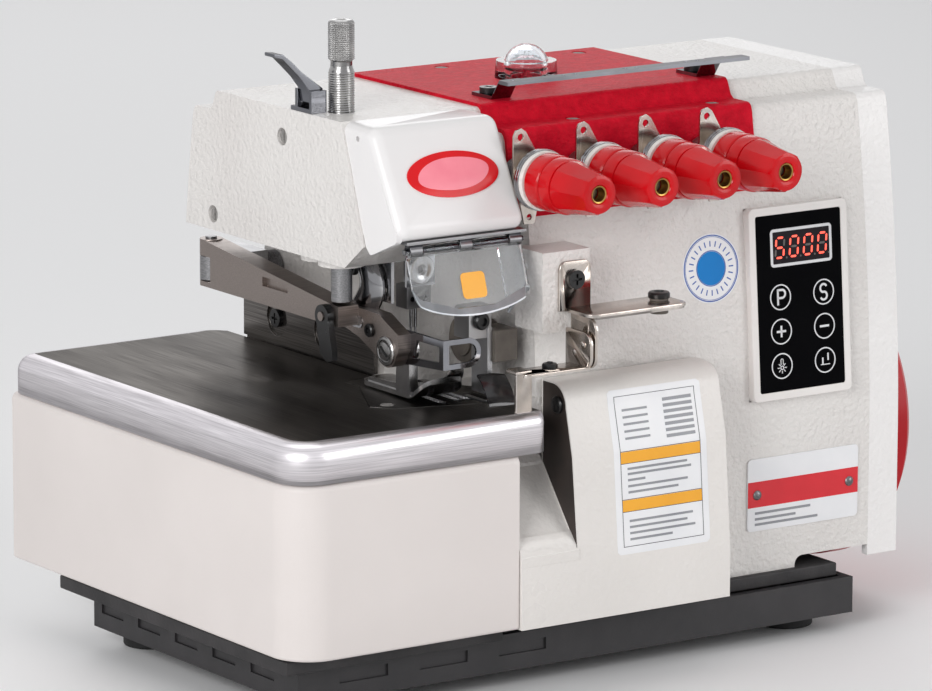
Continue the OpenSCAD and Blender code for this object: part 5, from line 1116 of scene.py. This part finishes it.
def makeFoot():
    # The sole is a thin tongue: level at the heel, its front turned up by the square of the run, and its
    # outline drawn in at both ends. A low rib, the shank and the round pivot eye stand on it.
    k = foot
    y = np.concatenate([np.linspace(k["heel"], k["split"], 30), np.linspace(k["split"], k["toe"], 22)[1:]])
    rise = np.where(y < k["riseFrom"], k["rise"] * (k["riseFrom"] - y) ** 2, 0)
    heelReach, toeReach = k["ends"]
    heel = 1 - np.sqrt(1 - k["fullness"] * np.clip((y - (k["heel"] - heelReach)) / heelReach, 0, 1) ** 2)
    toe = 1 - np.sqrt(1 - k["fullness"] * np.clip((k["toe"] + toeReach - y) / toeReach, 0, 1) ** 2)
    heelDraw, leftDraw, rightDraw = k["draw"]
    left = k["left"] + heelDraw * heel + leftDraw * toe
    right = k["right"] - heelDraw * heel - rightDraw * toe
    right = np.where(y > k["heelFrom"], np.minimum(right, k["heelRight"]), right)
    share = np.linspace(0, 1, k["columns"])
    x = left[:, None] * (1 - share) + right[:, None] * share
    level = 0 * x
    low = np.stack([x, level + y[:, None], level + (k["sole"] + rise)[:, None]], -1)
    high = low + np.stack([level, level, level + k["thick"] + k["crown"] * np.sin(np.pi * share)], -1)
    sole = makePiece("footSole", [closedSheet(high, low)], "presser_foot", "chrome", "footSteel", stands=True,
                     sharp=50)
    slots = [slab(roundBox(*box), *k["slotLevels"]) for box in k["slots"]]
    carved(sole, makeShape("footOpening", slots, "footSteel"), "DIFFERENCE")
    # A raised tongue on the right that carries on up as the curved toe guard
    g = toeGuard
    t = np.linspace(0, 1, 26)[:, None]
    v = np.linspace(-1, 1, 9)
    half = g["half"] - g["narrowing"] * np.clip((t - g["tipFrom"]) / (1 - g["tipFrom"]), 0, 1) ** 2
    climb = g["lift"] * np.clip((t - g["bendFrom"]) / (1 - g["bendFrom"]), 0, 1) ** g["power"]
    face = np.stack([g["x"] + half * v, g["start"] - g["run"] * t + g["bow"] * v ** 2,
                     k["sole"] + k["thick"] + g["gap"] + climb + 0 * v], -1)
    makePiece("footToeGuard", [closedSheet(face + [0, 0, g["thick"]], face)], "presser_foot", "chrome",
              "footSteel", sharp=50)
    parts = [plate("right", (k["shankX"], 0, 0), k["shank"], 0, k["shankThick"], 0.5),
             spun(k["eye"], (0, *k["pivot"]), "x", 40),
             plate("right", (k["ribX"], 0, 0), k["rib"], 0, k["ribThick"], 0.4)]
    makePiece("footShank", parts, "presser_foot", "chrome", "footSteel")


makeFoot()

# Profiles of the turned fittings: radius and height over the face that they sit on
armDetail = {
    "face": -85.8,
    "pivot": [(0, -1), (6.3, -1), (6.3, 0.9), (5.9, 1.3), (5.0, 1.35), (4.7, 0.8), (4.1, 0.75), (3.8, 1.5),
              (0, 1.7)],
    "slot": (6.2, 1.0, 0.3), "slotSink": 1.5, "slotTurn": ((0, 0.8, 0.6), (0, -0.6, 0.8), (-1, 0, 0)),
    "clamp": [(0, -0.5), (2.9, -0.5), (2.9, 1.4), (2.4, 1.9), (1.4, 1.9), (1.3, 1.0), (0, 1.0)],
    "clampPlace": (-41, 150.9),
    "oval": (3.1, 2.1), "ovalPlace": (-29.3, 153.0), "lipLine": 0.9, "slotShadeShare": 0.85,
}


def makeArmDetail():
    # A slotted pivot screw whose slot is a black bar of painted shade, a clamp screw, and a long hole with a
    # bright lip and a dark oval floor of painted shade.
    k = armDetail
    x = k["face"]

    def put(name, part, slot, paint):
        makePiece(name, [part], "presser_arm", slot, paint)

    put("armPivotScrew", spun(k["pivot"], (x, *foot["pivot"]), "-x", 56), "chrome", "turnedSteel")
    # A black bar over the steel screw head for its slot: painted shade in the groove
    bar = laid(slab(roundBox(*k["slot"]), 0, 0.35), (x - k["slotSink"], *foot["pivot"]), *k["slotTurn"])
    put("armPivotSlotShade", bar, "black_screw", "blackScrew")
    put("armClampScrew", spun(k["clamp"], (x, *k["clampPlace"]), "-x", 40), "black_screw", "blackScrew")
    half, radius = k["oval"]
    oval = np.concatenate([corner((half, 0), radius, -90, 90, 12), corner((-half, 0), radius, 90, 270, 12)])
    place = ((x, *k["ovalPlace"]), (0, -1, 0), (0, 0, 1), (-1, 0, 0))
    put("armSlotLip", laid(stroke(oval, k["lipLine"], -0.4, 0.5, closed=True), *place), "chrome", "chrome")
    # A dark oval nearly flush with the face: painted shade standing in for the hole's depth
    put("armSlotShade", laid(slab(oval * k["slotShadeShare"], -0.4, 0.12), *place), "dark_steel", "darkSteel")


makeArmDetail()

shield = {
    "x": -80.4, "bulge": 3.2, "bulgePower": 0.9, "thick": 0.9, "low": 157.5, "height": 20.5,
    "back": (-17.5, 5.5, 1.4, 2),  # place at the foot, hollow, its power, and lean
    "front": (-33, 9, 0.15, 0.7), "rows": 26, "columns": 22,
    "screw": [(0, 0), (2.6, 0), (2.6, 1.2), (2.0, 1.7), (1.0, 1.7), (0.9, 1.0), (0, 1.0)],
    "screwPlace": (-83.2, -25.2, 174.2),
    "eyelet": [(2.1, -0.2), (5.9, -0.2), (6.2, 0.2), (6.2, 0.9), (5.8, 1.2), (3.0, 1.2), (2.3, 0.9)],
    "eyeletPlace": (-78, -66.7, 180),
}


def makeShield():
    # A polished sheet that bulges to the left by a power of sin(pi share) from its back edge to its front edge;
    # the back edge is hollowed and the front edge bowed by sines of the share of the height.
    k = shield
    t = np.linspace(0, 1, k["rows"])[:, None]
    s = np.linspace(0, 1, k["columns"])
    backFoot, hollow, power, lean = k["back"]
    frontFoot, bow, start, reach = k["front"]
    back = backFoot - hollow * np.sin(np.pi * t) ** power - lean * t
    front = frontFoot - bow * np.sin(np.pi * (start + reach * t))
    face = np.stack([k["x"] - k["bulge"] * np.sin(np.pi * s) ** k["bulgePower"] + 0 * t,
                     back * (1 - s) + front * s, k["low"] + k["height"] * t + 0 * s], -1)
    makePiece("takeUpShield", [closedSheet(face, face + [k["thick"], 0, 0])], "take_up_guard", "chrome",
              "chrome", sharp=50)
    makePiece("shieldScrew", [spun(k["screw"], k["screwPlace"], "-x", 32)], "take_up_guard", "black_screw",
              "blackScrew")
    makePiece("threadEyelet", [spun(k["eyelet"], k["eyeletPlace"], "-y", 48)], "take_up_guard", "chrome",
              "turnedSteel")


makeShield()

knifeHolder = {
    "block": [(-71.5, 148.6), (-60.5, 148.6), (-60.5, 161.2), (-63, 162.4), (-71.5, 162.4)], "x": -56.9,
    "thick": 11.6, "screwPlace": (-51.2, -71.5, 156),
    "screw": [(0, -0.5), (3.6, -0.5), (3.6, 1.8), (3.0, 2.5), (1.9, 2.5), (1.8, 1.2), (0, 1.2)],
}


def makeKnifeHolder():
    k = knifeHolder
    block = plate("right", (k["x"], 0, 0), k["block"], 0, k["thick"], 0.6)
    makePiece("knifeBlock", [block], "knife_arm", "dark_steel", "knifeSteel")
    makePiece("knifeScrew", [spun(k["screw"], k["screwPlace"], "-y", 40)], "knife_arm", "black_screw",
              "blackScrew")


makeKnifeHolder()

chipGuard = {"left": -56, "width": 14, "back": -76, "depth": 9.5, "top": 134.5, "fall": 11.5, "power": 1.5,
             "bow": 2.2, "crest": 0.2, "thick": 1.0, "rows": 20, "columns": 10}


def makeChipGuard():
    # A dark sheet that falls to the front by a power of its share and is bowed by the square of its width.
    k = chipGuard
    t = np.linspace(0, 1, k["rows"])[:, None]
    s = np.linspace(0, 1, k["columns"])
    face = np.stack([k["left"] + k["width"] * s + 0 * t, k["back"] - k["depth"] * t + 0 * s,
                     k["top"] - k["fall"] * t ** k["power"] - k["bow"] * (s - k["crest"]) ** 2], -1)
    makePiece("chipGuard", [closedSheet(face, face - [0, 0, k["thick"]])], "throat_plate", "dark_plastic",
              "smokedPlastic", sharp=50)


makeChipGuard()
print("stitch area made")

chute = {
    "screw": [(0, -0.3), (3.7, -0.3), (3.7, 1.2), (3.1, 1.8), (0, 2.0)], "screwPlace": (-25.5, -92.2, 121),
    "crossX": -27.45, "cross": (4.6, 0.9, 0.3),
    "crossTurns": (((0, 0.94, 0.34), (0, -0.34, 0.94)), ((0, -0.34, 0.94), (0, -0.94, -0.34))),
    # Painted shadow on the chute's inner side wall: a dark sheet by y and z between the sloping floor and the
    # cover's front line, with the round top between
    "shadowSheet": ([(-81.0, 94.6), (-106.2, 62.2), (-102.1, 100.0), (-97.3, 120.0)],
              ((-88, 120), 9.3, 180, 90, 14), [(-81.0, 129.3)]),
    "shadowSheetX": -25.5, "shadowSheetLevels": (0.02, 0.14),
    "floor": [(-80.5, 93.2), (-73.1, 102.7), (-73.9, 103.3), (-80.5, 94.8)], "floorX": -53.4, "floorWide": 27.7,
    "guardFoot": ((-2.5, 119.7), (98, 122.45), (0.1,) * 4), "guardX": -58.6, "guardThick": 0.8,
}


def makeChute():
    k = chute
    makePiece("chuteScrew", [spun(k["screw"], k["screwPlace"], "-x", 40)], "front_cover", "black_screw",
              "blackScrew")
    bars = [laid(slab(roundBox(*k["cross"]), 0, 0.12), (k["crossX"], *k["screwPlace"][1:]), a, b, (-1, 0, 0))
            for a, b in k["crossTurns"]]
    makePiece("chuteScrewCross", bars, "front_cover", "black_screw", "blackScrew")
    # A dark sheet laid on the cream side wall, where the wall is only in shade: painted shadow
    start, bend, end = k["shadowSheet"]
    outline = np.concatenate([start, corner(*bend)[1:], end])
    shadowSheet = plate("left", (k["shadowSheetX"], 0, 0), outline, *k["shadowSheetLevels"])
    makePiece("chutePaintedShadowSheet", [shadowSheet], "front_cover", "dark_plastic", "chutePaintedShadow")
    # The fixed upper run of the chute's floor, behind the cover
    floor = plate("right", (k["floorX"], 0, 0), k["floor"], 0, k["floorWide"])
    makePiece("chuteUpperFloor", [floor], "machine_frame", "cast_paint", "castingPaint")
    # The column guard's foot, which closes the gap behind the cloth plate's edge
    skirt = plate("left", (k["guardX"], 0, 0), cutBox(*k["guardFoot"]), 0, k["guardThick"])
    makePiece("columnGuardFoot", [skirt], "column_guard", "brushed", "brushedPlate")


makeChute()
print("chute made")

# Each row is a view, the level that the sheet stands on, its box (low, high, corner radii) and the eased edge
guide = {
    "sheet": 1.4,
    "bracket": (("front", -91.5, ((-25.8, 160.6), (-9.8, 181.7), (3.6, 3.6, 0.3, 0.3)), 0.35),
                ("top", 160.55, ((-23, -111.4), (28, -91.6), (0.4, 0.4, 4.5, 4.5)), 0.35)),
    "keyhole": ((-20.7, 172.0), (-16.3, 178.2), (2.1,) * 4), "keyholeLevels": (-3, 5),
    "pivot": (19.9, -100.5), "holes": (4.4, 4.5), "holeLevels": (-3, 4), "holePlaces": (160.5, 158.7),
    "arm": (("top", 158.75, ((-20.3, -107.9), (31.2, -94.1), (6.9, 0.3, 0.3, 6.9)), 0.3),
            ("left", -19.05, ((-111.3, 138.2), (-93.2, 160.0), (0.4, 5.5, 5.5, 0.4)), 0.35),
            ("left", -21.55, ((-111.3, 138.2), (-93.2, 154.0), (0.4, 5.5, 5.5, 0.4)), 0.35),
            ("top", 138.1, ((-53.5, -108.4), (-20.5, -95.6), (0.4, 3, 3, 0.4)), 0.35),
            ("front", -105.05, ((-57, 123.2), (-49, 140.9), (2, 2, 0.8, 0.8)), 0.35),
            ("top", 139.5, ((-57, -106.5), (-49, -97.5), (2, 2, 0.5, 0.5)), 0.35)),
    "block": ((-105.5, 140), (-99.5, 152), (1,) * 4), "blockX": -20.5, "blockLevels": (-0.1, 1.2),
    "rivet": [(0, 0), (1.6, 0), (1.5, 0.5), (0.9, 0.8), (0, 0.9)], "rivetX": -22.95,
    "rivets": ((-106, 148.5), (-100, 144.5)),
    "knob": ([(0, 0), (3.3, 0), (3.3, 1.6), (2.9, 2.2), (1.4, 2.4), (0, 2.4)],
             [(0, 2.4), (1.2, 2.4), (1.2, 2.9), (0, 3.0)]),
    "knobPlace": (-37, -102, 139.5), "knobColumns": (32, 24),
    "head": [(0, 0), (4.6, 0), (4.7, 0.4), (4.7, 1.8), (4.2, 2.5), (2.2, 2.8), (2.0, 2.2), (0, 2.2)],
    "headLevel": 163.1,
}


def guidePlates(rows):
    # The view's third direction tells along which axis a sheet is set off to its level.
    places = {"front": (0, 1, 0), "left": (1, 0, 0), "top": (0, 0, 1)}
    return [plate(view, np.array(places[view]) * level, cutBox(*box), 0, guide["sheet"], ease)
            for view, level, box, ease in rows]


def makeGuide():
    # Bracket: a standing leg with a keyhole and a level leg with rounded ends, joined at the bend. Arm: a top
    # plate, two cheeks side by side with their front corners cut round, the tongue's shelf and the tongue.
    k = guide
    upper, lower = k["holePlaces"]
    wide, loose = k["holes"]

    def pivotHole(across, level):
        return plate("top", (0, 0, level), ellipse(across, across, 40, k["pivot"]), *k["holeLevels"])

    bracket = makePiece("guideBracketSheet", guidePlates(k["bracket"]), "guide_bracket", "chrome", "nickel",
                        stands=True, sharp=50)
    keyhole = plate("front", (0, k["bracket"][0][1], 0), cutBox(*k["keyhole"]), *k["keyholeLevels"])
    carved(bracket, makeShape("guideHoles", [keyhole, pivotHole(wide, upper)], "nickel"), "DIFFERENCE")
    block = plate("left", (k["blockX"], 0, 0), cutBox(*k["block"]), *k["blockLevels"])
    arm = makePiece("guideArmSheet", guidePlates(k["arm"]) + [block], "guide_arm", "chrome", "nickel",
                    stands=True, sharp=50)
    carved(arm, makeShape("guideHole", [pivotHole(loose, lower)], "nickel"), "DIFFERENCE")
    rivets = [spun(k["rivet"], (k["rivetX"], y, z), "-x", 24) for y, z in k["rivets"]]
    makePiece("guideRivets", rivets, "guide_arm", "chrome", "nickel")
    knob = [spun(part, k["knobPlace"], "z", count) for part, count in zip(k["knob"], k["knobColumns"])]
    makePiece("guideShelfScrew", knob, "guide_arm", "black_screw", "blackScrew")
    head = spun(k["head"], (*k["pivot"], k["headLevel"]), "z", 40)
    makePiece("guidePivotHead", [head], "pivot_pins", "black_screw", "blackScrew")


makeGuide()
print("fabric guide made")
